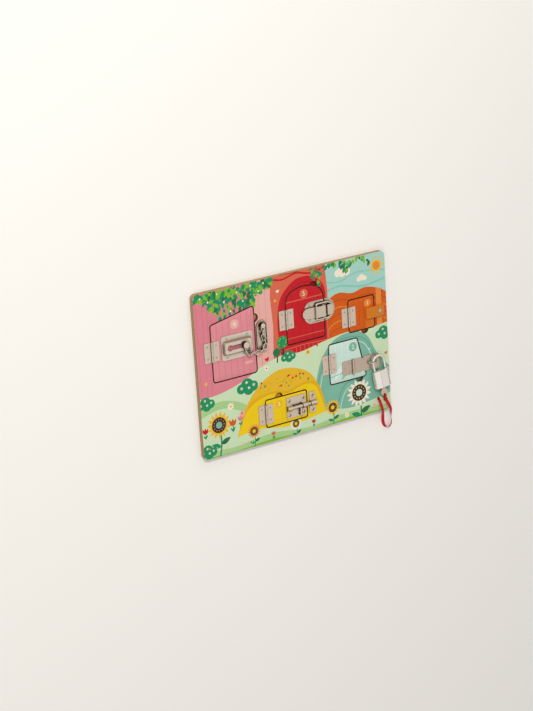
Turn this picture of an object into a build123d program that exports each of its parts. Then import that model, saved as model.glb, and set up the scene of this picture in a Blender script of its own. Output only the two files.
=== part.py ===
import os
from math import asin, cos, degrees, pi, radians, sin, sqrt, tan

from build123d import *

os.makedirs("parts", exist_ok=True)

# Frame: X to the right, Y to the top of the picture, Z out of the printed face. Back at z = 0.

# ---- wooden board ----
BOARD_W, BOARD_H, BOARD_R = 400.0, 300.0, 8.5
BACK_T = 4.0                          # backing sheet
FACE_T = 6.0                          # face board, sawn through round each door
TOP = BACK_T + FACE_T                 # level of the printed face
SAW = 1.6                             # saw cut between a door and the face board
UNDER = 0.3                           # air between a door and the backing sheet
DOOR_Z = BACK_T + UNDER
NOTCH_R = 7.8                         # finger notch

# ---- hinges ----
HINGE_W, HINGE_H, LEAF_T = 30.0, 36.0, 1.0
BARREL_R, PIN_R, PIN_FIT = 1.8, 0.9, 0.05
KNUCKLES, KNUCKLE_PLAY = 4, 0.3
AXIS_H = BARREL_R                     # hinge axis above the face
HINGE_HOLES = (8.9, 11.1)

# ---- countersunk wood screw ----
HEAD_R, SHANK_R, SCREW_L = 2.1, 1.0, 5.2

# ---- door outlines: middle of the saw cut, corner radius, hinge and finger notch ----
ARCH = (-15.5, 64.5, 19.5, 93.0, 24.0, 62.3)        # left, right, foot, spring, haunch R, crown R
DOORS = {
    1: dict(pts=[(116, 13), (172.4, 13), (172.4, 73.5), (116, 73.5)], r=4.5,
            hinge=(116, 42.6), notch=(150, 13)),
    2: dict(pts=[(69.7, -75.3), (149.5, -75.3), (132.2, 0.6), (69.7, 0.6)], r=5.0,
            hinge=(69.7, -35.8), notch=(133.8, -75.3)),
    3: dict(pts=[(-69.2, -121.8), (18, -121.8), (18, -70.5), (-69.2, -70.5)], r=4.5,
            hinge=(-69.2, -96.4), notch=(-40.5, -70.5)),
    4: dict(pts=[(-170.2, -14), (-81, -14), (-81, 107.8), (-170.2, 89.9)], r=5.0,
            hinge=(-170.2, 42.5), notch=(-81, 85)),
    5: dict(pts=None, r=4.0, hinge=(-15.5, 67.1), notch=(44.8, 117.1)),
}


def outline(spec):
    if spec["pts"]:
        sk = make_face(Polyline(*spec["pts"], close=True))
        return fillet(sk.vertices(), spec["r"])
    x0, x1, y0, ys, rh, rc = ARCH
    xm = (x0 + x1) / 2
    run = xm - x0 - rh
    yc = ys - sqrt((rc - rh) ** 2 - run ** 2)
    k = rh / (rc - rh)
    join = (x0 + rh - run * k, ys + (ys - yc) * k)
    half = degrees(asin(run / (rc - rh)))
    hc = (x0 + rh + rh * cos(radians(135 + half / 2)), ys + rh * sin(radians(135 + half / 2)))
    mir = lambda p: (2 * xm - p[0], p[1])
    edges = [Line((x0, y0), (x0, ys)), ThreePointArc((x0, ys), hc, join),
             ThreePointArc(join, (xm, yc + rc), mir(join)),
             ThreePointArc(mir(join), mir(hc), (x1, ys)), Line((x1, ys), (x1, y0)),
             Line((x1, y0), (x0, y0))]
    sk = make_face(edges)
    foot = sk.vertices().sort_by(Axis.Y)[:2]
    return fillet(foot, spec["r"])


def box(x0, x1, y0, y1, z0, z1):
    return Pos((x0 + x1) / 2, (y0 + y1) / 2, (z0 + z1) / 2) * Box(x1 - x0, y1 - y0, z1 - z0)


def rod(p, q, r):
    """Round bar from p to q."""
    p, q = Vector(*p), Vector(*q)
    return Solid.make_cylinder(r, (q - p).length, Plane(origin=p, z_dir=q - p))


def prism(sketch, z0, z1, taper=0):
    return Pos(0, 0, z0) * extrude(sketch, z1 - z0, taper=taper)


def ring(half_len, half_w, r, centre, along, roll=0.0):
    """Stadium ring of round wire: half lengths are measured on the wire's centre line."""
    s = half_len - half_w
    path = Wire([Line((-s, -half_w), (s, -half_w)).edge(),
                 ThreePointArc((s, -half_w), (s + half_w, 0), (s, half_w)).edge(),
                 Line((s, half_w), (-s, half_w)).edge(),
                 ThreePointArc((-s, half_w), (-s - half_w, 0), (-s, -half_w)).edge()])
    body = sweep(Plane(origin=(-s, -half_w, 0), z_dir=(1, 0, 0)) * Circle(r), path)
    a = Vector(*along).normalized()
    flat = a.cross(Vector(0, 0, 1)).cross(a).normalized()
    pl = Plane(origin=centre, x_dir=a, z_dir=flat)
    return pl * (Rot(X=roll) * body)


def compound(solids):
    out = []
    for s in solids:
        out.extend(s.solids())
    return Compound(children=out)


# ---- screws and the holes they leave ----
def screw(x, y, seat=LEAF_T):
    """Countersunk screw whose head is flush with the top of a sheet `seat` thick."""
    z = TOP + seat
    head = Solid.make_cone(SHANK_R, HEAD_R, LEAF_T, Plane(origin=(x, y, z - LEAF_T)))
    return head.fuse(rod((x, y, z - LEAF_T), (x, y, TOP - SCREW_L), SHANK_R))


def screw_hole(x, y):
    """The same screw's countersink and pilot hole."""
    return [Solid.make_cone(SHANK_R, HEAD_R, LEAF_T, Plane(origin=(x, y, TOP))),
            rod((x, y, TOP), (x, y, TOP - SCREW_L), SHANK_R)]


DOME_R, DOME_H = 3.3, 1.7


def dome_screw(x, y, seat):
    """Pan-head screw on a sheet `seat` thick."""
    z = TOP + seat
    cap_r = (DOME_R ** 2 + DOME_H ** 2) / (2 * DOME_H)
    ball = Pos(x, y, z + DOME_H - cap_r) * Sphere(cap_r)
    head = ball & box(x - 9, x + 9, y - 9, y + 9, z, z + 9)
    return head.solids()[0].fuse(rod((x, y, z), (x, y, TOP - SCREW_L), SHANK_R))


holes_face, screws_face = [], []
holes_door = {n: [] for n in DOORS}
screws_door = {n: [] for n in DOORS}
nodes = {}


def add_screws(points, door=None, domed=False, seat=LEAF_T):
    cuts = []
    for x, y in points:
        s = dome_screw(x, y, seat) if domed else screw(x, y, seat)
        (screws_door[door] if door else screws_face).append(s)
        h = rod((x, y, TOP + 9), (x, y, TOP - SCREW_L), SHANK_R)
        (holes_door[door] if door else holes_face).append(h)
        cuts += [h] if domed else screw_hole(x, y)
    return cuts


def minus(shape, cuts):
    for c in cuts:
        shape = shape - c
    return shape


# ---- butt hinge: one leaf on the face board, one on the door ----
def hinge(n, cx, cy):
    za, step, y0 = TOP + AXIS_H, HINGE_H / KNUCKLES, cy - HINGE_H / 2
    for side, owner in ((-1, "frame"), (1, "door")):
        xe = cx + side * HINGE_W / 2
        leaf = prism(Pos((xe + cx) / 2, cy) * Rectangle(HINGE_W / 2, HINGE_H), TOP, TOP + LEAF_T)
        ends = [e for e in leaf.edges().filter_by(Axis.Z) if abs(e.center().X - xe) < 0.1]
        leaf = fillet(ends, 1.4)
        for i in range(KNUCKLES):
            mine = (i % 2 == 0) == (owner == "door")
            a, b = y0 + i * step, y0 + (i + 1) * step
            lo = a + (KNUCKLE_PLAY / 2 if i else 0)
            hi = b - (KNUCKLE_PLAY / 2 if i < KNUCKLES - 1 else 0)
            if mine:
                leaf = leaf + rod((cx, lo, za), (cx, hi, za), BARREL_R)
            else:
                lo2, hi2 = lo - (KNUCKLE_PLAY if i else 1), hi + (KNUCKLE_PLAY if i < KNUCKLES - 1 else 1)
                room = BARREL_R + KNUCKLE_PLAY
                xs = sorted((cx - side * 0.5, cx + side * room))
                leaf = leaf - box(xs[0], xs[1], lo2, hi2, TOP - 1, za + BARREL_R)
        leaf = leaf - rod((cx, y0 - 1, za), (cx, y0 + HINGE_H + 1, za), PIN_R + PIN_FIT)
        pts = [(cx + side * HINGE_HOLES[0], cy + sy * HINGE_HOLES[1]) for sy in (-1, 1)]
        leaf = minus(leaf, add_screws(pts, n if owner == "door" else None))
        nodes[f"hinge_{n}_{owner}_leaf"] = leaf
    ends = 0.15
    pin = rod((cx, y0 - ends, za), (cx, y0 + HINGE_H + ends, za), PIN_R)
    for y, d in ((y0 - ends, -0.5), (y0 + HINGE_H + ends, 0.5)):
        pin = pin + rod((cx, y, za), (cx, y + d, za), PIN_R + 0.5)
    nodes[f"hinge_{n}_pin"] = pin


for n, spec in DOORS.items():
    hinge(n, *spec["hinge"])

# ---- door 1: wooden turn button on one screw ----
BUTTON = dict(pivot=(182.3, 41.5), reach=29.8, tail=8.6, w=20.2, t=4.7, gap=0.3, hole=1.75)
bx, by = BUTTON["pivot"]
zb = TOP + BUTTON["gap"]
button = prism(Pos(bx - (BUTTON["reach"] - BUTTON["tail"]) / 2, by)
               * RectangleRounded(BUTTON["reach"] + BUTTON["tail"], BUTTON["w"], 1.5), zb, zb + BUTTON["t"])
button = chamfer(button.faces().sort_by(Axis.Z)[-1].edges(), 0.5)
nodes["turn_button"] = button - rod((bx, by, TOP), (bx, by, TOP + 9), BUTTON["hole"] + 0.1)
WASHER = dict(r=3.9, t=0.6)
BUTTON_HEAD = dict(r=3.3, h=1.7)
zw = zb + BUTTON["t"] + 0.1
nodes["button_washer"] = (rod((bx, by, zw), (bx, by, zw + WASHER["t"]), WASHER["r"])
                          - rod((bx, by, zw - 1), (bx, by, zw + 2), BUTTON["hole"]))
zs = zw + WASHER["t"]
bead = (BUTTON_HEAD["r"] ** 2 + BUTTON_HEAD["h"] ** 2) / (2 * BUTTON_HEAD["h"])
cap = (Pos(bx, by, zs + BUTTON_HEAD["h"] - bead) * Sphere(bead)) & box(bx - 9, bx + 9, by - 9, by + 9, zs, zs + 9)
nodes["button_screw"] = (cap.solids()[0].fuse(rod((bx, by, zs), (bx, by, TOP), BUTTON["hole"]))
                         .fuse(rod((bx, by, TOP), (bx, by, TOP - SCREW_L), BUTTON["hole"])))
holes_face.append(rod((bx, by, TOP + 9), (bx, by, TOP - SCREW_L), BUTTON["hole"]))

# ---- door 2: hasp, staple and padlock ----
HASP = dict(x0=96.9, axis=120.0, y=-51.2, h=26.4, t=1.2, r=2.4, barrel=28.6, pin=1.1, play=0.3)
STRAP = dict(end=180.4, waist=(140.8, 4.0), slot=(161.8, 21.0, 6.8), clip=6.0, flare=0.9)
hx, hy, hz = HASP["axis"], HASP["y"], TOP + HASP["r"]
third = HASP["barrel"] / 3
leaf = prism(Pos((HASP["x0"] + hx) / 2, hy) * Rectangle(hx - HASP["x0"], HASP["h"]), TOP, TOP + HASP["t"])
leaf = fillet([e for e in leaf.edges().filter_by(Axis.Z) if e.center().X < hx - 5], 3.5)
room = HASP["r"] + HASP["play"]
leaf = leaf - box(hx - room, hx + 1, hy - third / 2 - 0.3, hy + third / 2 + 0.3, TOP - 1, TOP + 9)
for s in (-1, 1):
    leaf = leaf + rod((hx, hy + s * (third / 2 + 0.15), hz), (hx, hy + s * 1.5 * third, hz), HASP["r"])
leaf = leaf - rod((hx, hy - 20, hz), (hx, hy + 20, hz), HASP["pin"] + PIN_FIT)
HASP_SCREWS = [(111.1, hy + 8.7), (101.8, hy), (111.1, hy - 8.7)]
nodes["hasp_leaf"] = minus(leaf, add_screws(HASP_SCREWS, 2, seat=HASP["t"]) + [
    rod((x, y, TOP + LEAF_T), (x, y, TOP + 3), HEAD_R) for x, y in HASP_SCREWS])
nodes["hasp_pin"] = rod((hx, hy - 1.5 * third, hz), (hx, hy + 1.5 * third, hz), HASP["pin"])

zt = TOP + UNDER
strap = prism(Pos((hx + STRAP["end"]) / 2, hy) * Rectangle(STRAP["end"] - hx, HASP["h"]), zt, zt + HASP["t"])
wide = prism(Pos((STRAP["waist"][0] + STRAP["end"]) / 2, hy)
             * Rectangle(STRAP["end"] - STRAP["waist"][0], HASP["h"] + 2 * STRAP["flare"]), zt, zt + HASP["t"])
strap = chamfer([e for e in (strap + wide).edges().filter_by(Axis.Z)
                 if e.center().X > STRAP["end"] - 1], STRAP["clip"])
wx, wr = STRAP["waist"]
for s in (-1, 1):
    strap = strap - rod((wx, hy + s * (HASP["h"] / 2 + 1.9), TOP), (wx, hy + s * (HASP["h"] / 2 + 1.9), TOP + 4), wr)
    y1, y2 = hy + s * (third / 2 - 0.15), hy + s * 20
    strap = strap - box(hx - 1, hx + room, min(y1, y2), max(y1, y2), TOP - 1, TOP + 9)
strap = strap + rod((hx, hy - third / 2 + 0.15, hz), (hx, hy + third / 2 - 0.15, hz), HASP["r"])
strap = strap - rod((hx, hy - 20, hz), (hx, hy + 20, hz), HASP["pin"] + PIN_FIT)
sx, sl, sw = STRAP["slot"]
nodes["hasp_strap"] = strap - prism(Pos(sx, hy) * SlotOverall(sl, sw), TOP, TOP + 4)

STAPLE = dict(x=159.2, wire=1.5, half=5.8, eye=6.6)
tx, ty, tw, th = STAPLE["x"], hy + 0.1, STAPLE["wire"], STAPLE["half"]
ze = TOP + STAPLE["eye"]
loop = Wire([Line((tx - th, ty, BACK_T), (tx - th, ty, ze)).edge(),
             ThreePointArc((tx - th, ty, ze), (tx, ty, ze + th), (tx + th, ty, ze)).edge(),
             Line((tx + th, ty, ze), (tx + th, ty, BACK_T)).edge()])
nodes["staple"] = sweep(Plane(origin=(tx - th, ty, BACK_T), z_dir=(0, 0, 1)) * Circle(tw), loop)
for s in (-1, 1):
    holes_face.append(rod((tx + s * th, ty, BACK_T - 1), (tx + s * th, ty, TOP + 1), tw))

PAD = dict(tilt=9.0, w=34.0, h=34.0, t=15.0, legs=23.5, wire=2.3, rise=15.6, up=18.6, fit=0.15,
           long=24.0, short=8.0, plug=5.5, plug_len=26.0, axis=7.8)
# the padlock is drawn upright, its left leg on the Y axis through the eye, then laid on the board
pad = Plane(origin=(STAPLE["x"] - 0.2, ty, TOP + PAD["axis"]),
            x_dir=(cos(radians(PAD["tilt"])), sin(radians(PAD["tilt"])), 0), z_dir=(0, 0, 1))
lg, pw, py0 = PAD["legs"], PAD["wire"], -PAD["up"]      # body top at py0
mid = lg / 2
bow = Wire([Line((0, py0 - PAD["long"], 0), (0, py0 + PAD["rise"], 0)).edge(),
            ThreePointArc((0, py0 + PAD["rise"], 0), (mid, py0 + PAD["rise"] + mid, 0),
                          (lg, py0 + PAD["rise"], 0)).edge(),
            Line((lg, py0 + PAD["rise"], 0), (lg, py0 - PAD["short"], 0)).edge()])
shackle = sweep(Plane(origin=(0, py0 - PAD["long"], 0), z_dir=(0, 1, 0)) * Circle(pw), bow)
nodes["padlock_shackle"] = pad * shackle

body = extrude(Plane(origin=(mid, py0, 0), x_dir=(1, 0, 0), z_dir=(0, -1, 0))
               * SlotOverall(PAD["w"], PAD["t"]), PAD["h"])
body = chamfer([e for f in body.faces().filter_by(Axis.Y) for e in f.edges()], 0.9)
body = minus(body, [rod((0, py0 + 1, 0), (0, py0 - PAD["long"] - 0.5, 0), pw + PAD["fit"]),
                    rod((lg, py0 + 1, 0), (lg, py0 - PAD["short"] - 0.5, 0), pw + PAD["fit"])])
foot = py0 - PAD["h"]
body = body - rod((mid, foot - 1, 0), (mid, foot + PAD["plug_len"], 0), PAD["plug"] + 0.05)
nodes["padlock_body"] = pad * body

KEY = dict(t=2.0, blade=7.0, depth=23.0, head=7.2, drop=11.5, hole=2.0, neck=7.0, play=0.15)
kz = KEY["t"] / 2
plug = rod((mid, foot, 0), (mid, foot + PAD["plug_len"] - 0.2, 0), PAD["plug"])
kb = KEY["blade"] / 2 + KEY["play"]
plug = plug - box(mid - kb, mid + kb, foot - 1, foot + KEY["depth"] + 0.5, -kz - KEY["play"], kz + KEY["play"])
nodes["lock_plug"] = pad * plug
head = Pos(mid, foot - KEY["drop"]) * Circle(KEY["head"])
shank = Pos(mid, foot + (KEY["depth"] - KEY["drop"]) / 2) * Rectangle(KEY["neck"], KEY["depth"] + KEY["drop"])
key = prism(head + shank - Pos(mid, foot - KEY["drop"] - 4.2) * Circle(KEY["hole"]), -kz, kz)
for i, cut in enumerate((1.6, 2.4, 1.2, 2.0, 1.5)):
    yc = foot + 5 + 3.6 * i
    key = key - box(mid + 3.5 - cut, mid + 4, yc, yc + 1.8, -2, 2)
nodes["key"] = pad * key

# ---- door 3: barrel bolt ----
BOLT = dict(y=-96.2, x0=-26.2, x1=14.5, h=39.2, t=1.2, rod=3.0, z=4.6, fit=0.2, wall=1.2,
            flare=2.6, left=-25.6, right=34.6, handle=1.7, tip=-114.6)
BRIDGES = [(-26.2, -16.5), (5.2, 14.5)]
KEEPER = (22.3, 35.0)
gy, gz = BOLT["y"], TOP + BOLT["z"]


def bridge(x0, x1):
    """Pressed strap over the bolt: walls down to the plate, flared at the foot."""
    ri = BOLT["rod"] + BOLT["fit"]
    ro = ri + BOLT["wall"]
    out = rod((x0, gy, gz), (x1, gy, gz), ro) + box(x0, x1, gy - ro, gy + ro, TOP, gz)
    for s in (-1, 1):
        toe = ro + BOLT["flare"]
        flare = make_face(Polyline((gy + s * (ro - 0.4), TOP), (gy + s * toe, TOP), (gy + s * toe, TOP + BOLT["t"]),
                                   (gy + s * (ro - 0.4), TOP + BOLT["t"] + 2.0), close=True))
        out = out + extrude(Plane(origin=(x0, 0, 0), x_dir=(0, 1, 0), z_dir=(1, 0, 0)) * flare, x1 - x0)
    return out


def channel(x0, x1):
    ri = BOLT["rod"] + BOLT["fit"]
    return rod((x0, gy, gz), (x1, gy, gz), ri) + box(x0, x1, gy - ri, gy + ri, TOP + BOLT["t"], gz)


def plate(x0, x1, y, h, t, r=1.0):
    return prism(Pos((x0 + x1) / 2, y) * RectangleRounded(x1 - x0, h, r), TOP, TOP + t)


base = plate(BOLT["x0"], BOLT["x1"], gy, BOLT["h"], BOLT["t"])
for x0, x1 in BRIDGES:
    base = base + bridge(x0, x1)
base = base - channel(BOLT["x0"] - 1, BOLT["x1"] + 1)
BOLT_SCREWS = [(x, gy + s * 13.4) for x in (-20.6, 9.2) for s in (-1, 1)]
nodes["bolt_base"] = minus(base, add_screws(BOLT_SCREWS, 3, domed=True, seat=BOLT["t"]))
keeper = plate(*KEEPER, gy, BOLT["h"], BOLT["t"]) + bridge(*KEEPER)
keeper = keeper - channel(KEEPER[0] - 1, KEEPER[1] + 1)
nodes["bolt_keeper"] = minus(keeper, add_screws([(28.6, gy + s * 13.5) for s in (-1, 1)],
                                                domed=True, seat=BOLT["t"]))
bolt = rod((BOLT["left"], gy, gz), (BOLT["right"], gy, gz), BOLT["rod"])
nodes["bolt_rod"] = chamfer(bolt.edges().filter_by(GeomType.CIRCLE), 0.6)
hxh = BOLT["handle"]
handle = rod((hxh, gy - 2.6, gz), (hxh, BOLT["tip"] + 2, gz), 1.5)
handle = handle + (Pos(hxh, BOLT["tip"] + 2.2, gz) * Sphere(2.2))
nodes["bolt_handle"] = handle - bolt

# ---- door 4: chain guard ----
PLATE = dict(c=(-119.0, 43.2), w=63.4, h=44.2, r=4.5, tray=(59.0, 26.0, 6.0), rise=6.0, lean=28.0)
SLOT = dict(entry=-135.8, r=5.4, half=3.9, stop=-104.4)
px, pyc = PLATE["c"]
slot_plate = plate(px - PLATE["w"] / 2, px + PLATE["w"] / 2, pyc, PLATE["h"], LEAF_T, PLATE["r"])
w, h, r = PLATE["tray"]
slot_plate = slot_plate + prism(Pos(px, pyc) * RectangleRounded(w, h, r), TOP + 0.5, TOP + PLATE["rise"],
                                PLATE["lean"])
slot_plate = slot_plate - prism(Pos(px, pyc) * RectangleRounded(w - 2, h - 2, r - 1), TOP,
                                TOP + PLATE["rise"] - 1.0, PLATE["lean"])
slot_plate = slot_plate - rod((SLOT["entry"], pyc, TOP), (SLOT["entry"], pyc, TOP + 9), SLOT["r"])
slot_plate = slot_plate - rod((SLOT["stop"], pyc, TOP), (SLOT["stop"], pyc, TOP + 9), SLOT["half"])
slot_plate = slot_plate - box(SLOT["entry"], SLOT["stop"], pyc - SLOT["half"], pyc + SLOT["half"],
                              TOP + PLATE["rise"] - 1.5, TOP + 9)
PLATE_SCREWS = [(px + a * 20.6, pyc + b * 17.3) for a in (-1, 1) for b in (-1, 1)]
nodes["chain_slot_plate"] = minus(slot_plate, add_screws(PLATE_SCREWS, 4))

KNOB = dict(x=-105.8, neck=2.4, flange=5.0, z=(2.4, 4.6, 10.4, 12.0), top=5.8)
kx, (k0, k1, k2, k3) = KNOB["x"], [TOP + z for z in KNOB["z"]]
knob = rod((kx, pyc, k0), (kx, pyc, k3), KNOB["neck"]) + rod((kx, pyc, k0), (kx, pyc, k1), KNOB["flange"])
disc = rod((kx, pyc, k2), (kx, pyc, k3), KNOB["top"])
disc = fillet(disc.edges().filter_by(GeomType.CIRCLE).sort_by(Axis.Z)[-1], 1.0)
nodes["chain_knob"] = knob + disc

HOOK = dict(wire=1.0, half=4.5, drop=2.4, tip=(-95.6, 21.6), play=0.1)
hook_z = k2 - 2 * HOOK["wire"] + 0.5
over = Vector(kx, pyc, hook_z)
tip = Vector(*HOOK["tip"], hook_z - HOOK["drop"])
a = (tip - over).normalized()
start = over - a * (KNOB["neck"] + HOOK["wire"] + HOOK["play"])
nodes["chain_hook_link"] = ring((tip - start).length / 2, HOOK["half"], HOOK["wire"], (start + tip) * 0.5, a)

DISH = dict(c=(-67.8, 49.3), w=23.0, h=59.0, wall=1.3, floor=1.0, rim=2.8)
dx, dy = DISH["c"]
stad = lambda w, h: Pos(dx, dy) * Rot(0, 0, 90) * SlotOverall(h, w)
dish = prism(stad(DISH["w"], DISH["h"]), TOP, TOP + DISH["rim"], 18)
wi, hi = DISH["w"] - 2 * DISH["wall"] - 3.0, DISH["h"] - 2 * DISH["wall"] - 3.0
dish = dish - prism(stad(wi, hi), TOP + DISH["floor"], TOP + 9, -18)
ANCHOR = dict(x=-67.4, y=69.0, neck=1.3, z=(1.0, 6.4, 8.2), r=4.8)
ax_, ay_, (z0, z1, z2) = ANCHOR["x"], ANCHOR["y"], [TOP + z for z in ANCHOR["z"]]
stud = rod((ax_, ay_, z0), (ax_, ay_, z2), ANCHOR["neck"]) + rod((ax_, ay_, z1), (ax_, ay_, z2), ANCHOR["r"])
stud = fillet(stud.edges().filter_by(GeomType.CIRCLE).sort_by(Axis.Z)[-1], 1.5)
stud = stud + rod((ax_, ay_, z0), (ax_, ay_, TOP - SCREW_L), ANCHOR["neck"])
holes_face.append(rod((ax_, ay_, TOP + 1), (ax_, ay_, TOP - SCREW_L), ANCHOR["neck"]))
dish = dish - rod((ax_, ay_, TOP - 1), (ax_, ay_, TOP + 2), ANCHOR["neck"])
nodes["chain_stud"] = stud
DISH_SCREW = (dx, dy - 9)
nodes["chain_dish"] = minus(dish, add_screws([DISH_SCREW], seat=LEAF_T))

# the chain: its links stand on edge and lean over by turns, and the last one lies flat round the stud
LINK = dict(wire=0.95, half=3.15, play=0.15, count=8, rolls=(62.0, -28.0))
reach = LINK["wire"] + LINK["play"] / 2
low = TOP + DISH["floor"] + LINK["wire"] + LINK["half"] * sin(radians(LINK["rolls"][0])) + 0.15
seat_y = ay_ + ANCHOR["neck"] + LINK["wire"] + HOOK["play"] - reach
CHAIN_ROUTE = [(-83.5, 22.6, tip.Z), (-75.0, 24.4, low + 1.8), (-67.5, 26.2, low + 1.8), (-62.9, 30.6, low + 1.2),
               (-62.8, 38.0, low), (-66.0, 45.5, low), (-68.6, 53.0, low), (ax_, ay_ - 7.5, low),
               (ax_, seat_y, low)]


def march(path, step, count):
    """Points one `step` apart (straight distance) along a polyline."""
    knots = [Vector(*p) for p in path]
    pts, seg, cur = [knots[0]], 0, knots[0]
    while len(pts) <= count and seg < len(knots) - 1:
        far = knots[seg + 1]
        if (far - pts[-1]).length < step:
            seg, cur = seg + 1, far
            continue
        lo, hi = cur, far
        for _ in range(40):
            m = (lo + hi) * 0.5
            lo, hi = (m, hi) if (m - pts[-1]).length < step else (lo, m)
        cur = (lo + hi) * 0.5
        pts.append(cur)
    return pts


def spaced(path, count):
    """`count` equal steps along a polyline, from its first point to its last."""
    lo, hi = 0.0, sum((Vector(*q) - Vector(*p)).length for p, q in zip(path, path[1:])) / count
    for _ in range(40):
        m = (lo + hi) / 2
        lo, hi = (m, hi) if len(march(path, m, count)) > count else (lo, m)
    return march(path, lo, count)


bend = tip - a * HOOK["half"]                   # middle of the hook link's round end
towards = (Vector(*CHAIN_ROUTE[0]) - bend).normalized()
hooked = bend + towards * (HOOK["half"] - HOOK["wire"] - LINK["play"] / 2)
joints = spaced([tuple(hooked)] + CHAIN_ROUTE, LINK["count"])
links = []
for i, (p, q) in enumerate(zip(joints, joints[1:])):
    u = (q - p).normalized()
    s, e = p - u * reach, q + u * reach
    roll = 0.0 if i == LINK["count"] - 1 else LINK["rolls"][i % 2]
    links.append(ring((e - s).length / 2, LINK["half"], LINK["wire"], (s + e) * 0.5, u, roll))
nodes["chain"] = compound(links)
print("chain pitch", round((joints[1] - joints[0]).length, 2))

# ---- door 5: toggle latch ----
TOG = dict(y=68.6, x0=22.0, x1=63.3, half=20.3, corner=16.0, t=1.0)
CATCH = dict(cx=66.6, r=20.2, x0=65.7, deck=68.0, half=9.4)
PIVOT, HOLD = (60.0, 5.5), (46.0, 4.4)          # lever pin and loop pin: x and height above the face
LOOP = dict(wire=1.6, half=14.5, tip=81.1, z=4.4)
LEVER = dict(tab=(17.2, 43.6), half=9.75, x0=43.2, w=10.2, z=(3.0, 4.2, 7.0, 8.0), wall=1.0, nose=4.2, foot=2.2)
oy = TOG["y"]
base = prism(Pos((TOG["x0"] + TOG["x1"]) / 2, oy) * Rectangle(TOG["x1"] - TOG["x0"], 2 * TOG["half"]),
             TOP, TOP + TOG["t"])
base = fillet([e for e in base.edges().filter_by(Axis.Z) if e.center().X < 30], TOG["corner"])
rib = prism(Pos(47.5, oy) * (RectangleRounded(34.0, 37.6, 8.0) - RectangleRounded(31.6, 35.2, 6.8)),
            TOP, TOP + 1.8)
base = base + (rib & box(30, TOG["x1"] - 0.6, oy - 30, oy + 30, TOP, TOP + 3))
EAR = (10.6, 11.8)
for s in (-1, 1):
    y1, y2 = sorted((oy + s * EAR[0], oy + s * EAR[1]))
    base = base + box(PIVOT[0] - 4, TOG["x1"], y1, y2, TOP, TOP + PIVOT[1])
    base = base + rod((PIVOT[0], y1, TOP + PIVOT[1]), (PIVOT[0], y2, TOP + PIVOT[1]), 3.0)
axle = ((PIVOT[0], oy - 12.3, TOP + PIVOT[1]), (PIVOT[0], oy + 12.3, TOP + PIVOT[1]))
base = base - rod(*axle, 1.25)
nodes["toggle_base"] = minus(base, add_screws([(34.5, oy + s * 12.6) for s in (-1, 1)], 5))
nodes["toggle_pin"] = rod(*axle, 1.2)

l0, l1, l2, l3 = [TOP + z for z in LEVER["z"]]
tab = (Pos((LEVER["tab"][0] + LEVER["tab"][1] + LEVER["half"]) / 2, oy)
       * SlotOverall(LEVER["tab"][1] - LEVER["tab"][0] + LEVER["half"], 2 * LEVER["half"]))
lever = prism(tab, l0, l1) & box(0, LEVER["tab"][1], 0, 120, 0, 60)
wl, x0 = LEVER["w"], LEVER["x0"]
x1 = PIVOT[0] + sqrt(LEVER["nose"] ** 2 - (LEVER["z"][3] - PIVOT[1]) ** 2)
lever = lever + box(x0, x1, oy - wl, oy + wl, l2, l3) + box(x0, x0 + 1.2, oy - wl, oy + wl, l0, l3)
for s in (-1, 1):
    # the side walls end in a nose round the lever's pin, so that they clear the base as the lever turns over
    y1, y2 = sorted((oy + s * (wl - LEVER["wall"]), oy + s * wl))
    nose = rod((PIVOT[0], y1, TOP + PIVOT[1]), (PIVOT[0], y2, TOP + PIVOT[1]), LEVER["nose"])
    lever = lever + box(x0, PIVOT[0], y1, y2, TOP + LEVER["foot"], l3)
    lever = lever + (nose & box(PIVOT[0] - 1, PIVOT[0] + 9, y1 - 1, y2 + 1, TOP, l3))
lever = lever - rod(*axle, 1.3)
eye_pin = ((HOLD[0], oy - 20, TOP + HOLD[1]), (HOLD[0], oy + 20, TOP + HOLD[1]))
lever = lever - rod(*eye_pin, LOOP["wire"] + 0.1)
nodes["toggle_lever"] = lever

ly, lr, zl = LOOP["half"], LOOP["half"], TOP + LOOP["z"]
lx = LOOP["tip"] - lr
end_y = wl - LEVER["wall"] - 0.8
B = 2.4
half_path = lambda s: [
    Line((HOLD[0], oy + s * end_y, zl), (HOLD[0], oy + s * (ly - B), zl)).edge(),
    ThreePointArc((HOLD[0], oy + s * (ly - B), zl),
                  (HOLD[0] + B * (1 - sqrt(0.5)), oy + s * (ly - B + B * sqrt(0.5)), zl),
                  (HOLD[0] + B, oy + s * ly, zl)).edge(),
    Line((HOLD[0] + B, oy + s * ly, zl), (lx, oy + s * ly, zl)).edge()]
tip_arc = ThreePointArc((lx, oy - lr, zl), (lx + lr, oy, zl), (lx, oy + lr, zl)).edge()
wire = Wire(half_path(-1) + [tip_arc] + half_path(1))
nodes["toggle_loop"] = sweep(Plane(origin=(HOLD[0], oy - end_y, zl), z_dir=(0, -1, 0)) * Circle(LOOP["wire"]), wire)

cx0, cr = CATCH["cx"], CATCH["r"]
catch = prism(Pos(cx0, oy) * Circle(cr), TOP, TOP + TOG["t"])
catch = catch + prism(Pos(cx0, oy) * (Circle(19.0) - Circle(17.6)), TOP, TOP + 1.8)
inner = lr - LOOP["wire"]
hook_r = inner - 0.35
sector = Pos(lx + 10, oy) * Rectangle(20, 2 * CATCH["half"])
wall_ = prism((Pos(lx, oy) * Circle(hook_r) - Pos(lx, oy) * Circle(hook_r - 1.3)) & sector, TOP, TOP + 5.9)
deck = prism((Pos(lx, oy) * Circle(inner + 0.55)) & (Pos(CATCH["deck"] + 10, oy) * Rectangle(20, 2 * CATCH["half"])),
             TOP + 5.9, TOP + 6.8)
back = box(CATCH["deck"], CATCH["deck"] + 1.1, oy - CATCH["half"], oy + CATCH["half"], TOP, TOP + 5.9)
catch = (catch + wall_ + deck + back) & box(CATCH["x0"], 95, 30, 110, 0, 60)
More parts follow.
